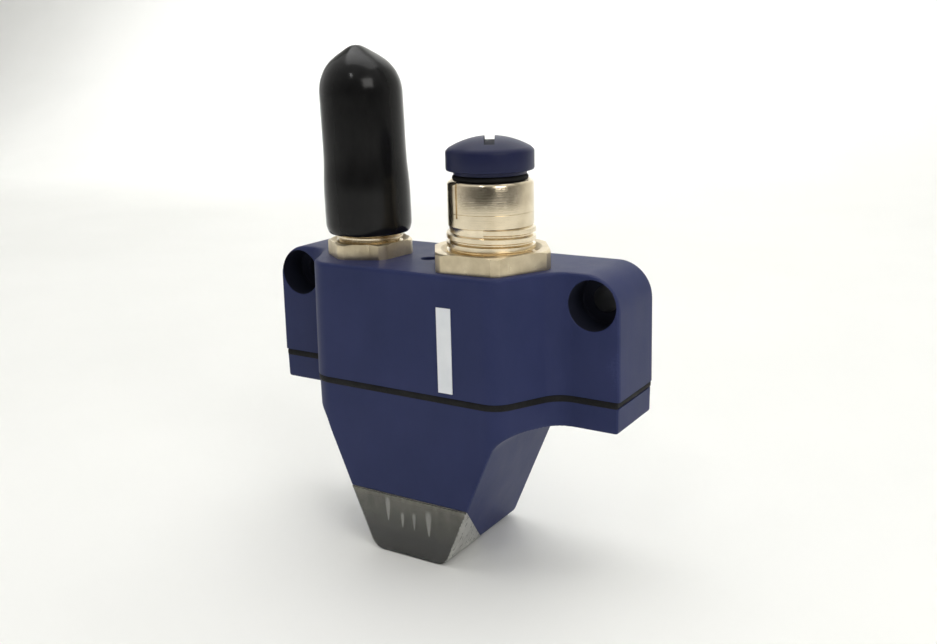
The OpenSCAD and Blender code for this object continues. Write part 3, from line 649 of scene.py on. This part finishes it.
class Finish:
    """A material's node tree, with short calls for what the finishes here have in common."""

    def __init__(self, name):
        self.material = bpy.data.materials.new(name)
        self.material.use_nodes = True
        self.nodes, self.links = self.material.node_tree.nodes, self.material.node_tree.links
        self.shader = self.nodes["Principled BSDF"]
        self.place = self.nodes.new("ShaderNodeTexCoord").outputs["Object"]

    def set(self, **values):
        for name, value in values.items():
            self.shader.inputs[name.replace("_", " ")].default_value = value
        return self

    def stretched(self, scale, offset=(0, 0, 0)):
        node = self.nodes.new("ShaderNodeMapping")
        self.links.new(self.place, node.inputs["Vector"])
        node.inputs["Scale"].default_value = scale
        node.inputs["Location"].default_value = offset
        return node.outputs["Vector"]

    def noise(self, size, detail=4.0, rough=0.55, stretch=None, distortion=0.0):
        """Noise whose marks are about size millimetres across."""
        node = self.nodes.new("ShaderNodeTexNoise")
        self.links.new(self.stretched(stretch) if stretch else self.place, node.inputs["Vector"])
        node.inputs["Scale"].default_value = 1 / (size * MM)
        node.inputs["Detail"].default_value = detail
        node.inputs["Roughness"].default_value = rough
        node.inputs["Distortion"].default_value = distortion
        return node.outputs["Fac"]

    def spread(self, value, low, high, to_low, to_high):
        node = self.nodes.new("ShaderNodeMapRange")
        self.links.new(value, node.inputs["Value"])
        for name, number in (("From Min", low), ("From Max", high), ("To Min", to_low), ("To Max", to_high)):
            node.inputs[name].default_value = number
        return node.outputs["Result"]

    def calc(self, operation, a, b=None):
        node = self.nodes.new("ShaderNodeMath")
        node.operation = operation
        for slot, value in zip(node.inputs, (a, b)):
            if value is None:
                continue
            if isinstance(value, (int, float)):
                slot.default_value = value
            else:
                self.links.new(value, slot)
        return node.outputs[0]

    def colour(self, value, stops):
        """A colour ramp from (place, colour) stops."""
        node = self.nodes.new("ShaderNodeValToRGB")
        ramp = node.color_ramp
        while len(ramp.elements) < len(stops):
            ramp.elements.new(0.5)
        for element, (position, shade) in zip(ramp.elements, stops):
            element.position = position
            element.color = (*shade, 1)
        self.links.new(value, node.inputs["Fac"])
        return node.outputs["Color"]

    def use(self, output, name):
        self.links.new(output, self.shader.inputs[name])
        return self

    def bumps(self, *layers):
        """Stacks (height, depth in millimetres) bump layers."""
        below = None
        for height, depth in layers:
            node = self.nodes.new("ShaderNodeBump")
            self.links.new(height, node.inputs["Height"])
            node.inputs["Distance"].default_value = depth * MM
            node.inputs["Strength"].default_value = 1.0
            if below:
                self.links.new(below, node.inputs["Normal"])
            below = node.outputs["Normal"]
        self.links.new(below, self.shader.inputs["Normal"])
        return self


def moulded_plastic(name, dark, light, roughness, grain=0.012):
    f = Finish(name)
    cloud, fine = f.noise(14, 3), f.noise(0.22, 2, 0.6)
    scuff = f.noise(5, 6, 0.7, (1, 1, 0.35))
    rubbed = tuple(1.5 * shade + 0.012 for shade in light)
    tone = f.calc("ADD", f.calc("MULTIPLY", cloud, 0.5), f.calc("MULTIPLY", scuff, 0.35))
    f.use(f.colour(f.calc("ADD", tone, f.calc("MULTIPLY", fine, 0.15)),
                   [(0.36, dark), (0.6, light), (0.72, rubbed)]), "Base Color")
    f.use(f.spread(f.calc("ADD", f.calc("MULTIPLY", scuff, 0.7), f.calc("MULTIPLY", fine, 0.3)),
                   0.3, 0.7, roughness - 0.06, roughness + 0.07), "Roughness")
    f.set(Specular_IOR_Level=0.2)
    f.bumps((cloud, 0.05), (fine, grain))
    return f.material


def turned_metal(name, colours, roughness, centre, marks=0.006):
    """Plated metal with fine turning marks: rings up the sides, circles on the ends."""
    f = Finish(name)
    around = f.stretched((1, 1, 1), (-centre[0] * MM, -centre[1] * MM, 0))
    split = f.nodes.new("ShaderNodeSeparateXYZ")
    f.links.new(around, split.inputs[0])
    radius = f.calc("SQRT", f.calc("ADD", f.calc("MULTIPLY", split.outputs[0], split.outputs[0]),
                                   f.calc("MULTIPLY", split.outputs[1], split.outputs[1])))
    line = f.nodes.new("ShaderNodeTexNoise")
    line.noise_dimensions = "1D"
    f.links.new(f.calc("ADD", split.outputs[2], f.calc("MULTIPLY", radius, 1.7)), line.inputs["W"])
    line.inputs["Scale"].default_value = 1 / (0.11 * MM)
    line.inputs["Detail"].default_value = 3
    stain = f.noise(3.5, 5, 0.6)
    f.use(f.colour(stain, [(0.3, colours[0]), (0.62, colours[1])]), "Base Color")
    f.use(f.spread(f.calc("ADD", f.calc("MULTIPLY", stain, 0.6), f.calc("MULTIPLY", line.outputs["Fac"],
        0.4)),
                   0.3, 0.7, roughness - 0.07, roughness + 0.09), "Roughness")
    f.set(Metallic=1.0)
    f.bumps((f.noise(2.2, 3), 0.01), (line.outputs["Fac"], marks))
    return f.material


def plain_metal(name, colours, roughness, stretch=(1, 1, 8)):
    f = Finish(name)
    brushed, stain = f.noise(0.4, 3, 0.6, stretch), f.noise(3, 4)
    f.use(f.colour(stain, [(0.3, colours[0]), (0.7, colours[1])]), "Base Color")
    f.use(f.spread(brushed, 0.3, 0.7, roughness - 0.06, roughness + 0.1), "Roughness")
    f.set(Metallic=1.0)
    f.bumps((brushed, 0.006))
    return f.material


def soft_rubber(name, dark, light, roughness=0.62):
    f = Finish(name)
    fine, dust = f.noise(0.3, 4, 0.65), f.noise(4, 5, 0.6)
    f.use(f.colour(dust, [(0.35, dark), (0.75, light)]), "Base Color")
    f.use(f.spread(fine, 0.3, 0.7, roughness - 0.08, roughness + 0.1), "Roughness")
    f.set(Specular_IOR_Level=0.25)
    f.bumps((fine, 0.02))
    return f.material


def dipped_vinyl(name):
    """Glossy soft vinyl: a slow waviness from dipping, and faint smears."""
    f = Finish(name)
    wave, smear = f.noise(6, 2, 0.5, (1, 1, 0.5)), f.noise(2.5, 5, 0.65, (1, 1, 0.4))
    dust = f.noise(0.35, 3, 0.7)
    f.use(f.colour(smear, [(0.3, (0.006, 0.006, 0.0062)), (0.75, (0.010, 0.010, 0.0102))]), "Base Color")
    f.use(f.spread(smear, 0.3, 0.75, 0.14, 0.22), "Roughness")
    f.set(Specular_IOR_Level=0.2)
    f.bumps((wave, 0.1), (smear, 0.01), (dust, 0.002))
    return f.material


def clear_plastic(name):
    f = Finish(name)
    flow, fine = f.noise(3.2, 3, 0.5, (1, 1, 0.6)), f.noise(0.5, 3)
    f.use(f.colour(flow, [(0.3, (0.66, 0.66, 0.64)), (0.7, (0.78, 0.78, 0.76))]), "Base Color")
    f.use(f.spread(fine, 0.3, 0.7, 0.05, 0.12), "Roughness")
    f.set(IOR=1.49, Transmission_Weight=1.0)
    f.bumps((flow, 0.04))
    return f.material


def frosted_plastic(name):
    """Clear plastic with a drawn, matt skin: fine vertical lines that scatter the light."""
    f = Finish(name)
    drawn, cloud = f.noise(0.5, 4, 0.6, (1, 1, 0.12)), f.noise(2.4, 3)
    f.use(f.colour(cloud, [(0.3, (0.5, 0.5, 0.47)), (0.7, (0.72, 0.72, 0.68))]), "Base Color")
    f.use(f.spread(drawn, 0.3, 0.7, 0.22, 0.45), "Roughness")
    f.set(IOR=1.49, Transmission_Weight=0.5)
    f.bumps((drawn, 0.03))
    return f.material


def painted_highlight_drop(f, x, z, centre, width, top, length):
    """A painted highlight: a pale drop of lamp light that hangs from `top` and narrows to a point, as a 0 to 1
    mask.
    """
    down = f.calc("DIVIDE", f.calc("SUBTRACT", top * MM, z), length * MM)
    half = f.calc("MULTIPLY", f.calc("SUBTRACT", 1.04, f.calc("POWER", f.calc("MAXIMUM", down, 0.0), 2.0)),
        width / 2 * MM)
    off = f.calc("ABSOLUTE", f.calc("SUBTRACT", x, centre * MM))
    inside = f.calc("SUBTRACT", 1.0, f.calc("DIVIDE", off, f.calc("MAXIMUM", half, 0.02 * MM)))
    ends = f.calc("MULTIPLY", f.spread(down, -0.05, 0.25, 0.0, 1.0), f.spread(down, 0.9, 1.0, 1.0, 0.0))
    return f.calc("MULTIPLY", f.calc("MAXIMUM", inside, 0.0), ends)


def painted_shade_and_light_plastic(name):
    """Inner plastic with painted shade and light: dark grey, partly its smoky tint and partly painted shade of
    the guide's inside, paler and browner towards its upper edge as painted light, with four painted highlights of
    lamp light.
    """
    f = Finish(name)
    cloud = f.noise(2.2, 4, 0.6, (1, 1, 0.45))
    split = f.nodes.new("ShaderNodeSeparateXYZ")
    f.links.new(f.place, split.inputs[0])
    x, z = split.outputs[0], split.outputs[2]
    # painted light: paler towards the upper edge, where light comes through the frosted slope
    height = f.spread(z, (Z_TIP + 3.4) * MM, (Z_TIP + LENS_RISE - 1) * MM, 0.0, 1.0)
    tone = f.calc("MULTIPLY", height, f.calc("ADD", f.calc("MULTIPLY", cloud, 0.7), 0.1))
    # painted highlights: four drops of lamp light seen inside the guide, the palest stop of the ramp below
    for centre, width, drop, length in ((-4.4, 1.2, 1.2, 4.6), (-1.3, 0.9, 3.4, 3.0), (1.2, 0.9, 3.0, 3.4),
        (4.3, 1.5, 2.0, 5.0)):
        painted_drop = painted_highlight_drop(f, x, z, centre, width, Z_TIP + LENS_RISE - drop, length)
        tone = f.calc("ADD", tone, f.calc("MULTIPLY", painted_drop, 1.5))
    f.use(f.colour(tone, [(0.02, (0.018, 0.018, 0.0195)), (0.25, (0.14, 0.135, 0.11)), (0.5, (0.4, 0.385,
        0.32)),
                          (1.0, (0.95, 0.95, 0.94))]), "Base Color")
    f.use(f.spread(cloud, 0.3, 0.7, 0.35, 0.55), "Roughness")
    f.bumps((cloud, 0.04))
    return f.material


def circuit_board(name):
    """Solder mask over copper: tracks show as faint relief, with bright pads between them."""
    f = Finish(name)
    cells = f.nodes.new("ShaderNodeTexVoronoi")
    cells.distance = "CHEBYCHEV"
    cells.feature = "F1"
    f.links.new(f.place, cells.inputs["Vector"])
    cells.inputs["Scale"].default_value = 1 / (1.6 * MM)
    track = f.spread(cells.outputs["Distance"], 0.42, 0.46, 0.0, 1.0)
    f.use(f.colour(track, [(0.2, (0.012, 0.085, 0.035)), (0.8, (0.02, 0.15, 0.06))]), "Base Color")
    f.use(f.spread(f.noise(1.2), 0.3, 0.7, 0.28, 0.42), "Roughness")
    f.bumps((track, 0.03))
    return f.material


def label_film(name):
    """Pale label film without its print: a pale grey field that varies a little in tone, with a slight paper-like
    grain.
    """
    f = Finish(name)
    fine, tone = f.noise(0.25, 3), f.noise(5, 3)
    f.use(f.colour(tone, [(0.3, (0.78, 0.81, 0.85)), (0.7, (0.88, 0.90, 0.93))]), "Base Color")
    f.use(f.spread(fine, 0.3, 0.7, 0.42, 0.56), "Roughness")
    f.bumps((fine, 0.006))
    return f.material


MALE = (MALE_X, CONNECTOR_Y)
FEMALE = (FEMALE_X, CONNECTOR_Y)
NICKEL = [(0.66, 0.56, 0.40), (0.88, 0.77, 0.58)]
NUT_NICKEL = [(0.54, 0.45, 0.30), (0.74, 0.64, 0.46)]

blue = moulded_plastic("blue_moulded_plastic", (0.018, 0.026, 0.088), (0.025, 0.033, 0.106), 0.5)
plug_blue = moulded_plastic("plug_blue_plastic", (0.011, 0.014, 0.05), (0.016, 0.020, 0.064), 0.4, 0.008)
rubber = soft_rubber("black_rubber", (0.003, 0.003, 0.0035), (0.011, 0.011, 0.0115), 0.7)
vinyl = dipped_vinyl("black_dipped_vinyl")
male_nickel = turned_metal("nickel_plating_male", NICKEL, 0.24, MALE)
female_nickel = turned_metal("nickel_plating_female", NICKEL, 0.2, FEMALE)
nut_nickel = plain_metal("nickel_plating_nuts", NUT_NICKEL, 0.33, (1, 1, 0.1))
# painted shade: a darker, duller blue for the mounting holes and the plug's slot, which lie in shade
painted_shade_blue = moulded_plastic("painted_shade_blue_plastic", (0.007, 0.008, 0.017), (0.011, 0.013, 0.026), 0.75)
clear = clear_plastic("clear_plastic")
frosted = frosted_plastic("frosted_clear_plastic")
# painted shade and painted light inside the light guide, carried by its inner block
core_painted_shade_and_light = painted_shade_and_light_plastic("inner_plastic_painted_shade_and_light")
zinc = plain_metal("zinc_plated_steel", [(0.42, 0.42, 0.43), (0.6, 0.6, 0.61)], 0.34)
tin = plain_metal("tinned_sheet", [(0.5, 0.51, 0.52), (0.66, 0.67, 0.68)], 0.3)
gold = plain_metal("gold_contact", [(0.68, 0.47, 0.17), (0.85, 0.62, 0.27)], 0.22)
copper = plain_metal("copper_wire", [(0.55, 0.28, 0.14), (0.72, 0.40, 0.22)], 0.3)
black_plastic = moulded_plastic("black_insert_plastic", (0.012, 0.012, 0.014), (0.02, 0.02, 0.022), 0.5)
board = circuit_board("solder_mask_green")
film = label_film("pale_label_film")
resin = moulded_plastic("lamp_resin", (0.55, 0.52, 0.36), (0.66, 0.62, 0.44), 0.25, 0.004)
red_cover = moulded_plastic("wire_cover_red", (0.3, 0.03, 0.02), (0.42, 0.05, 0.035), 0.4)


# ---- pieces -------------------------------------------------------------------------------------

def stand_in(piece, finish, node, body="unit"):
    """Gives a finished piece its material, hides the node that it stands for and puts the piece under its body.
    """
    piece.data.materials.clear()
    piece.data.materials.append(finish)
    piece.data.polygons.foreach_set("material_index", [0] * len(piece.data.polygons))
    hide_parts(node)
    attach(piece, body)


def second_finish(piece, finish, where):
    """Gives the faces for which where(centre, normal) holds a second finish. The centre is in millimetres."""
    piece.data.materials.append(finish)
    for face in piece.data.polygons:
        face.material_index = int(where(face.center / MM, face.normal))


def is_leaning_side(centre, normal):
    return abs(normal.x) > 0.6 and abs(centre.x) > 0.8 * NOSE_TIP_HALF


# faces inside the mounting holes, which get the painted shade
def gets_painted_shade_in_bore(centre, normal):
    off_axis = math.hypot(abs(centre.x) - HOLE_X, centre.z)
    return off_axis < COUNTERBORE_D / 2 + 0.02 and -EAR_DEPTH + 0.15 < centre.y < -0.1 and abs(centre.x) > 22


# faces of the plug's slot, which get the painted shade
def gets_painted_shade_in_slot(centre, normal):
    turn = math.radians(SLOT_TURN)
    off = (centre.x - FEMALE_X) * math.cos(turn) + (centre.y - CONNECTOR_Y) * math.sin(turn)
    floor = Z_HEAD + PLUG_SIDE + PLUG_DOME - SLOT_DEPTH
    is_wall = abs(normal.z) < 0.2 and centre.z > floor - 0.02
    is_floor = abs(centre.z - floor) < 0.02 and normal.z > 0.99
    return abs(off) < SLOT_WIDTH / 2 + 0.03 and (is_wall or is_floor)


def hexagon(name, centre, across_flats, low, high, turn):
    r = across_flats / 2 / math.cos(math.radians(30))
    outline = []
    for i in range(6):
        a = math.radians(60 * i + turn)
        outline.append((centre[0] + r * math.cos(a), centre[1] + r * math.sin(a)))
    return prism(name, outline, low, high)


def build_lock_nut(name, centre, across_flats, across_corners, height, bore_d, turn):
    """A hexagon nut made from round bar: its corners and its upper edge are turned off."""
    corner = across_corners / 2
    top = Z_TOP + height
    nut = hexagon(name, centre, across_flats, Z_TOP, top, turn)
    crown = turned("crown", [(0, Z_TOP - 1), (corner, Z_TOP - 1), (corner, top - 0.28), (corner - 0.5, top),
                             (0, top)], centre, 180)
    carve(nut, [crown], "INTERSECT")
    r = bore_d / 2
    bore = turned("bore", [(0, Z_TOP - 1), (r + 1.4, Z_TOP - 1), (r + 0.4, Z_TOP), (r - 0.1, Z_TOP + 0.5),
                           (r - 0.1, top - 1.1), (r + 1.05, top), (r + 1.6, top + 0.55), (0, top + 0.55)],
                               centre, 96)
    carve(nut, [bore])
    chamfer(nut, 0.07)
    soften(nut, 14)
    return nut


def build_female_shell():
    """The bigger connector's body: flange and mounting thread below, smooth turned barrel above."""
    core = MOUNT_THREAD_D / 2 - MOUNT_PITCH * 0.36
    outer = BARREL_D / 2
    thread_top = Z_TOP + MOUNT_THREAD_HEIGHT
    ring = Z_TOP + 9.3
    bore = THREAD_D / 2 + 0.06
    profile = [
        (4.9, -3.4), (7.05, -3.4), (7.05, Z_FLANGE - 1.8), (8.75, Z_FLANGE - 1.8), (8.75, Z_FLANGE),
        (core, Z_FLANGE), (core, thread_top - 0.75), (outer - 0.12, thread_top - 0.1), (outer,
            thread_top + 0.1),
        (outer, ring - 0.06), (outer - 0.05, ring), (outer, ring + 0.06),
        (outer, Z_RIM - 0.5), (outer - 0.12, Z_RIM - 0.22), (outer - 0.38, Z_RIM), (bore + 0.55, Z_RIM),
        (bore, Z_RIM - 0.6), (bore, Z_TOP + 4), (4.9, Z_TOP + 4)]
    shell = turned("female_connector_shell", profile, FEMALE, 128, closed=True)
    ridge = thread_ridge("mount_thread", female_nickel, FEMALE, MOUNT_THREAD_D, MOUNT_PITCH,
                         MOUNT_PITCH * 0.36, Z_FLANGE + 0.2, thread_top + 0.2, 0.02, -102, 0.5)
    carve(shell, [ridge], "UNION")
    mark = prism("key_mark", [(-0.22, -outer - 0.4), (0.22, -outer - 0.4), (0.22, -outer + 0.28), (-0.22,
        -outer + 0.28)],
                 Z_RIM - 5.8, Z_RIM + 1)
    mark.data.transform(Matrix.Translation((FEMALE_X * MM, CONNECTOR_Y * MM,
        0)) @ Matrix.Rotation(math.radians(-20), 4, "Z"))
    carve(shell, [mark])
    soften(shell, 30)
    return shell


def build_male_shell():
    cut = PITCH * 0.54
    core = THREAD_D / 2 - cut
    top = Z_TOP + MALE_HEIGHT
    profile = [
        (4.9, -3.4), (6.45, -3.4), (6.45, Z_FLANGE - 1.8), (7.55, Z_FLANGE - 1.8), (7.55, Z_FLANGE),
        (core, Z_FLANGE), (core, top - 0.25), (core - 0.25, top), (4.55, top), (4.4, top - 0.15),
        (4.4, Z_TOP + 4), (4.9, Z_TOP + 4)]
    shell = turned("male_connector_shell", profile, MALE, 112, closed=True)
    ridge = thread_ridge("cable_thread", male_nickel, MALE, THREAD_D, PITCH, cut, Z_FLANGE + 0.2, top - 0.3,
        0.03, 60)
    carve(shell, [ridge], "UNION")
    soften(shell, 30)
    return shell


def smooth_profile(stops, count):
    """Radius over height through the stops, without sharp bends."""
    heights = np.array([h for h, _ in stops], float)
    radii = np.array([r for _, r in stops], float)
    slope = np.gradient(radii, heights)
    at = np.linspace(heights[0], heights[-1], count)
    i = np.clip(np.searchsorted(heights, at) - 1, 0, len(heights) - 2)
    h = heights[i + 1] - heights[i]
    t = (at - heights[i]) / h
    r = ((1 + 2 * t) * (1 - t) ** 2 * radii[i] + t * (1 - t) ** 2 * h * slope[i]
         + t * t * (3 - 2 * t) * radii[i + 1] + t * t * (t - 1) * h * slope[i + 1])
    return list(zip(r, at))


def curve_through(points, steps):
    """A smooth curve through the points, with steps pieces between each two."""
    ends = [points[0]] + list(points) + [points[-1]]
    out = []
    for a, b, c, d in zip(ends, ends[1:], ends[2:], ends[3:]):
        for i in range(steps):
            t = i / steps
            out.append(tuple(0.5 * (2 * b[k] + (c[k] - a[k]) * t + (2 * a[k] - 5 * b[k] + 4 * c[k] - d[k]) * t * t
                                    + (3 * b[k] - a[k] - 3 * c[k] + d[k]) * t ** 3) for k in (0, 1)))
    return out + [points[-1]]


def cap_lean(z):
    """How far the cap's axis has bent sideways at a height."""
    up = max(0.0, (z - Z_CAP) / CAP_HEIGHT)
    near_tip = max(0.0, (up - 0.8) / 0.2)
    return -0.62 * up ** 1.25 - 0.5 * near_tip ** 2


def build_cap():
    """A dipped sleeve: straight over the connector, waisted above it, domed, with a drip point."""
    stops = [(4.55, 7.42), (5.2, 7.6), (6.5, 7.66), (9.6, 7.66), (12.0, 7.64), (13.4, 7.58), (15.0, 7.47),
             (16.8, 7.37), (19.0, 7.32), (23.0, 7.31), (26.8, 7.3)]
    body = [(r, Z_TOP + z) for r, z in smooth_profile(stops, 60)]
    shoulder = [(7.3, 9.2), (7.27, 7.7), (7.1, 6.5), (6.78, 5.45), (6.15, 4.15), (5.15, 2.9), (3.9, 1.9),
                (2.65, 1.1), (1.65, 0.5), (0.8, 0.12), (0.0, 0.0)]
    dome = curve_through([(r, Z_CAP + CAP_HEIGHT - down) for r, down in shoulder], 4)
    outside = [(6.7, Z_CAP), (7.1, Z_CAP + 0.06), (7.3, Z_CAP + 0.28)] + body + dome
    bore = THREAD_D / 2 + 0.07
    inside = [(0, Z_TOP + 31.5), (2.6, Z_TOP + 31.0), (4.6, Z_TOP + 29.2), (5.5, Z_TOP + 26.5), (5.85,
        Z_TOP + 22),
              (5.9, Z_TOP + 16.6), (bore, Z_TOP + 15.2), (bore, Z_CAP + 0.5), (bore + 0.3, Z_CAP + 0.1)]
    return turned("dust_cap_sleeve", inside + outside, MALE, 112, lean=cap_lean)


def build_plug():
    r = PLUG_D / 2
    side_top = Z_HEAD + PLUG_SIDE
    top = side_top + PLUG_DOME
    ball = (r * r + PLUG_DOME * PLUG_DOME) / 2 / PLUG_DOME
    dome = []
    for i in range(26):
        x = (r - 0.5) * (1 - i / 25)
        dome.append((x, top - ball + math.sqrt(ball * ball - x * x)))
    core = THREAD_D / 2 - PITCH * 0.54
    hollow = (THREAD_D - 3.8) / 2 + 0.4
    profile = [(0, Z_RIM - 0.4), (hollow, Z_RIM - 0.4), (hollow, Z_RIM - 8.6), (core - 0.2, Z_RIM - 8.6),
               (core, Z_RIM - 8.4), (core, Z_RIM - 0.4), (THREAD_D / 2 - 0.7, Z_RIM - 0.35),
                   (THREAD_D / 2 - 0.7, Z_RIM + 0.9),
               (THREAD_D / 2 + 0.1, Z_RIM + 1.0), (THREAD_D / 2 + 0.1, Z_HEAD), (r - 0.35, Z_HEAD),
               (r - 0.1, Z_HEAD + 0.1), (r, Z_HEAD + 0.35), (r, side_top - 0.35), (r - 0.08,
                   side_top - 0.1)] + dome
    plug = turned("blanking_plug_moulding", profile, FEMALE, 128)
    ridge = thread_ridge("plug_thread", plug_blue, FEMALE, THREAD_D - 0.1, PITCH, PITCH * 0.54, Z_RIM - 8.5,
        Z_RIM - 0.6, 0.04)
    carve(plug, [ridge], "UNION")
    half = SLOT_WIDTH / 2
    slot = prism("slot", [(-half, -r - 1), (half, -r - 1), (half, r + 1), (-half, r + 1)], top - SLOT_DEPTH,
        top + 3)
    slot.data.transform(Matrix.Translation((FEMALE_X * MM, CONNECTOR_Y * MM,
        0)) @ Matrix.Rotation(math.radians(SLOT_TURN), 4, "Z"))
    carve(plug, [slot])
    chamfer(plug, 0.07, 2, 40)
    return plug


def ring_seal(name, centre, mean_r, section_r, z):
    section = [(mean_r + section_r * math.cos(a), z + section_r * math.sin(a))
               for a in np.linspace(0, 2 * math.pi, 28, endpoint=False)]
    return turned(name, section, centre, 112, closed=True)


upper = build_upper_housing()
lower, glass = build_lower_housing()
finish_light_guide(glass)
stand_in(upper, blue, "upper_housing")
stand_in(lower, blue, "lower_housing")
stand_in(glass, clear, "light_guide")
for side in (-1, 1):
    stand_in(build_stem(side), frosted, "light_guide")
# the inner block carries the light guide's painted shade and painted light
stand_in(build_guide_core(), core_painted_shade_and_light, "light_guide")
second_finish(glass, frosted, is_leaning_side)
# painted shade inside the mounting holes
second_finish(upper, painted_shade_blue, gets_painted_shade_in_bore)
stand_in(build_gasket(), rubber, "housing_gasket")
stand_in(build_female_shell(), female_nickel, "female_shell")
stand_in(build_male_shell(), male_nickel, "male_shell")
stand_in(build_lock_nut("female_lock_nut", FEMALE, FEMALE_NUT_AF, FEMALE_BAR_D, FEMALE_NUT_HEIGHT,
                        MOUNT_THREAD_D, 3.5), nut_nickel, "female_nut")
stand_in(build_lock_nut("male_lock_nut", MALE, MALE_NUT_AF, MALE_BAR_D, MALE_NUT_HEIGHT, THREAD_D, 23.7),
         nut_nickel, "male_nut")
stand_in(build_cap(), vinyl, "dust_cap", "cap")
plug = build_plug()
stand_in(plug, plug_blue, "blanking_plug", "plug")
# painted shade in the plug's slot
second_finish(plug, painted_shade_blue, gets_painted_shade_in_slot)
stand_in(ring_seal("plug_sealing_ring", FEMALE, THREAD_D / 2 - 0.15, 0.5, Z_RIM + 0.42), rubber,
         "plug_seal", "plug_ring")

for node, finish in {
        "front_label": film, "housing_screws": zinc, "male_insert": black_plastic, "male_pins": gold,
        "male_seal": rubber, "female_insert": black_plastic, "female_contacts": gold, "female_seal": rubber,
        "main_board": board, "radio_board": board, "shield_can": tin, "antenna": copper,
        "board_header": black_plastic, "controller_chip": black_plastic, "capacitors": tin,
        "led_board": board, "leds": resin, "led_leads": red_cover}.items():
    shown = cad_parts[node]
    shown.data.materials.clear()
    shown.data.materials.append(finish)


# ---- floor, light and camera ----------------------------------------------------------------------

def pale_floor():
    f = Finish("pale_table")
    tone, fine = f.noise(90, 3), f.noise(1.5, 3)
    f.use(f.colour(tone, [(0.3, (0.86, 0.865, 0.84)), (0.7, (0.89, 0.893, 0.87))]), "Base Color")
    f.use(f.spread(fine, 0.3, 0.7, 0.55, 0.65), "Roughness")
    return f.material


def build_stage():
    """A floor that curves up into a wall far behind."""
    reach, back, bend = 1600, 620, 260
    rows = [(-1400, 0.0)] + [(y, 0.0) for y in np.linspace(-1000, back - bend, 8)]
    rows += [(back - bend + bend * math.sin(a),
        bend - bend * math.cos(a)) for a in np.radians(np.linspace(6, 90, 15))]
    rows += [(back, 1500)]
    points = [(x, y, Z_TIP + z) for y, z in rows for x in (-reach, reach)]
    faces = [(2 * i, 2 * i + 1, 2 * i + 3, 2 * i + 2) for i in range(len(rows) - 1)]
    floor = make_piece("floor", points, faces, 60)
    floor.data.materials.append(pale_floor())


def add_light(name, place, target, size, power, shade=(1, 1, 1), spread=180):
    data = bpy.data.lights.new(name, "AREA")
    data.shape = "RECTANGLE"
    data.size, data.size_y = size
    data.energy = power
    data.spread = math.radians(spread)
    data.color = shade
    lamp = bpy.data.objects.new(name, data)
    bpy.context.collection.objects.link(lamp)
    lamp.location = place
    lamp.rotation_euler = (Vector(target) - Vector(place)).to_track_quat("-Z", "Y").to_euler()


def build_room():
    """A soft room: bright above and behind the unit, dimmer in front of it."""
    world = bpy.data.worlds.new("room")
    world.use_nodes = True
    nodes, links = world.node_tree.nodes, world.node_tree.links
    direction = nodes.new("ShaderNodeTexCoord").outputs["Generated"]
    towards_back = nodes.new("ShaderNodeVectorMath")
    towards_back.operation = "DOT_PRODUCT"
    links.new(direction, towards_back.inputs[0])
    towards_back.inputs[1].default_value = (-0.45, 0.75, 0.5)
    level = nodes.new("ShaderNodeMapRange")
    level.interpolation_type = "SMOOTHSTEP"
    links.new(towards_back.outputs["Value"], level.inputs["Value"])
    for name, number in (("From Min", -0.8), ("From Max", 0.7), ("To Min", ROOM_FRONT), ("To Max",
        ROOM_BACK)):
        level.inputs[name].default_value = number
    background = nodes["Background"]
    background.inputs["Color"].default_value = (1.0, 0.99, 0.965, 1)
    links.new(level.outputs["Result"], background.inputs["Strength"])
    bpy.context.scene.world = world


build_stage()
build_room()
add_light("window", (0.72, -0.44, 0.52), (0, 0, 0), (0.45, 0.45), 3.0, (1.0, 0.985, 0.96))
add_light("top", (-0.1, 0.42, 1.1), (0, 0.15, 0), (1.2, 1.2), 8.2)
add_light("wall_wash", (-0.2, 0.33, 0.9), (-0.3, 0.62, 0.35), (0.8, 0.2), 1.6, spread=56)
add_light("lamp", (0.05, -0.75, 0.85), (0, 0, 0), (0.05, 0.05), 0.6)
bpy.context.scene.view_settings.view_transform = "Standard"


def place_camera(azimuth, elevation, roll, target, distance, lens):
    """A camera at the viewing angle, its own up turned by roll. Angles are in degrees."""
    az, el, ro = (math.radians(v) for v in (azimuth, elevation, roll))
    back = Vector((math.sin(az) * math.cos(el), -math.cos(az) * math.cos(el), math.sin(el)))
    right = Vector((math.cos(az), math.sin(az), 0))
    up = right.cross(-back)
    across = math.cos(ro) * right + math.sin(ro) * up
    upward = -math.sin(ro) * right + math.cos(ro) * up
    data = bpy.data.cameras.new("camera")
    data.lens = lens
    data.sensor_width = 36
    data.clip_start = 0.01
    data.clip_end = 10
    camera = bpy.data.objects.new("camera", data)
    bpy.context.collection.objects.link(camera)
    spot = Vector(target) + back * distance
    camera.matrix_world = Matrix.Translation(spot) @ Matrix((across, upward, back)).transposed().to_4x4()
    bpy.context.scene.camera = camera


place_camera(32.141, 14.715, -1.407, (0.00635, -0.013, -0.00575), 0.1825, 40.12)
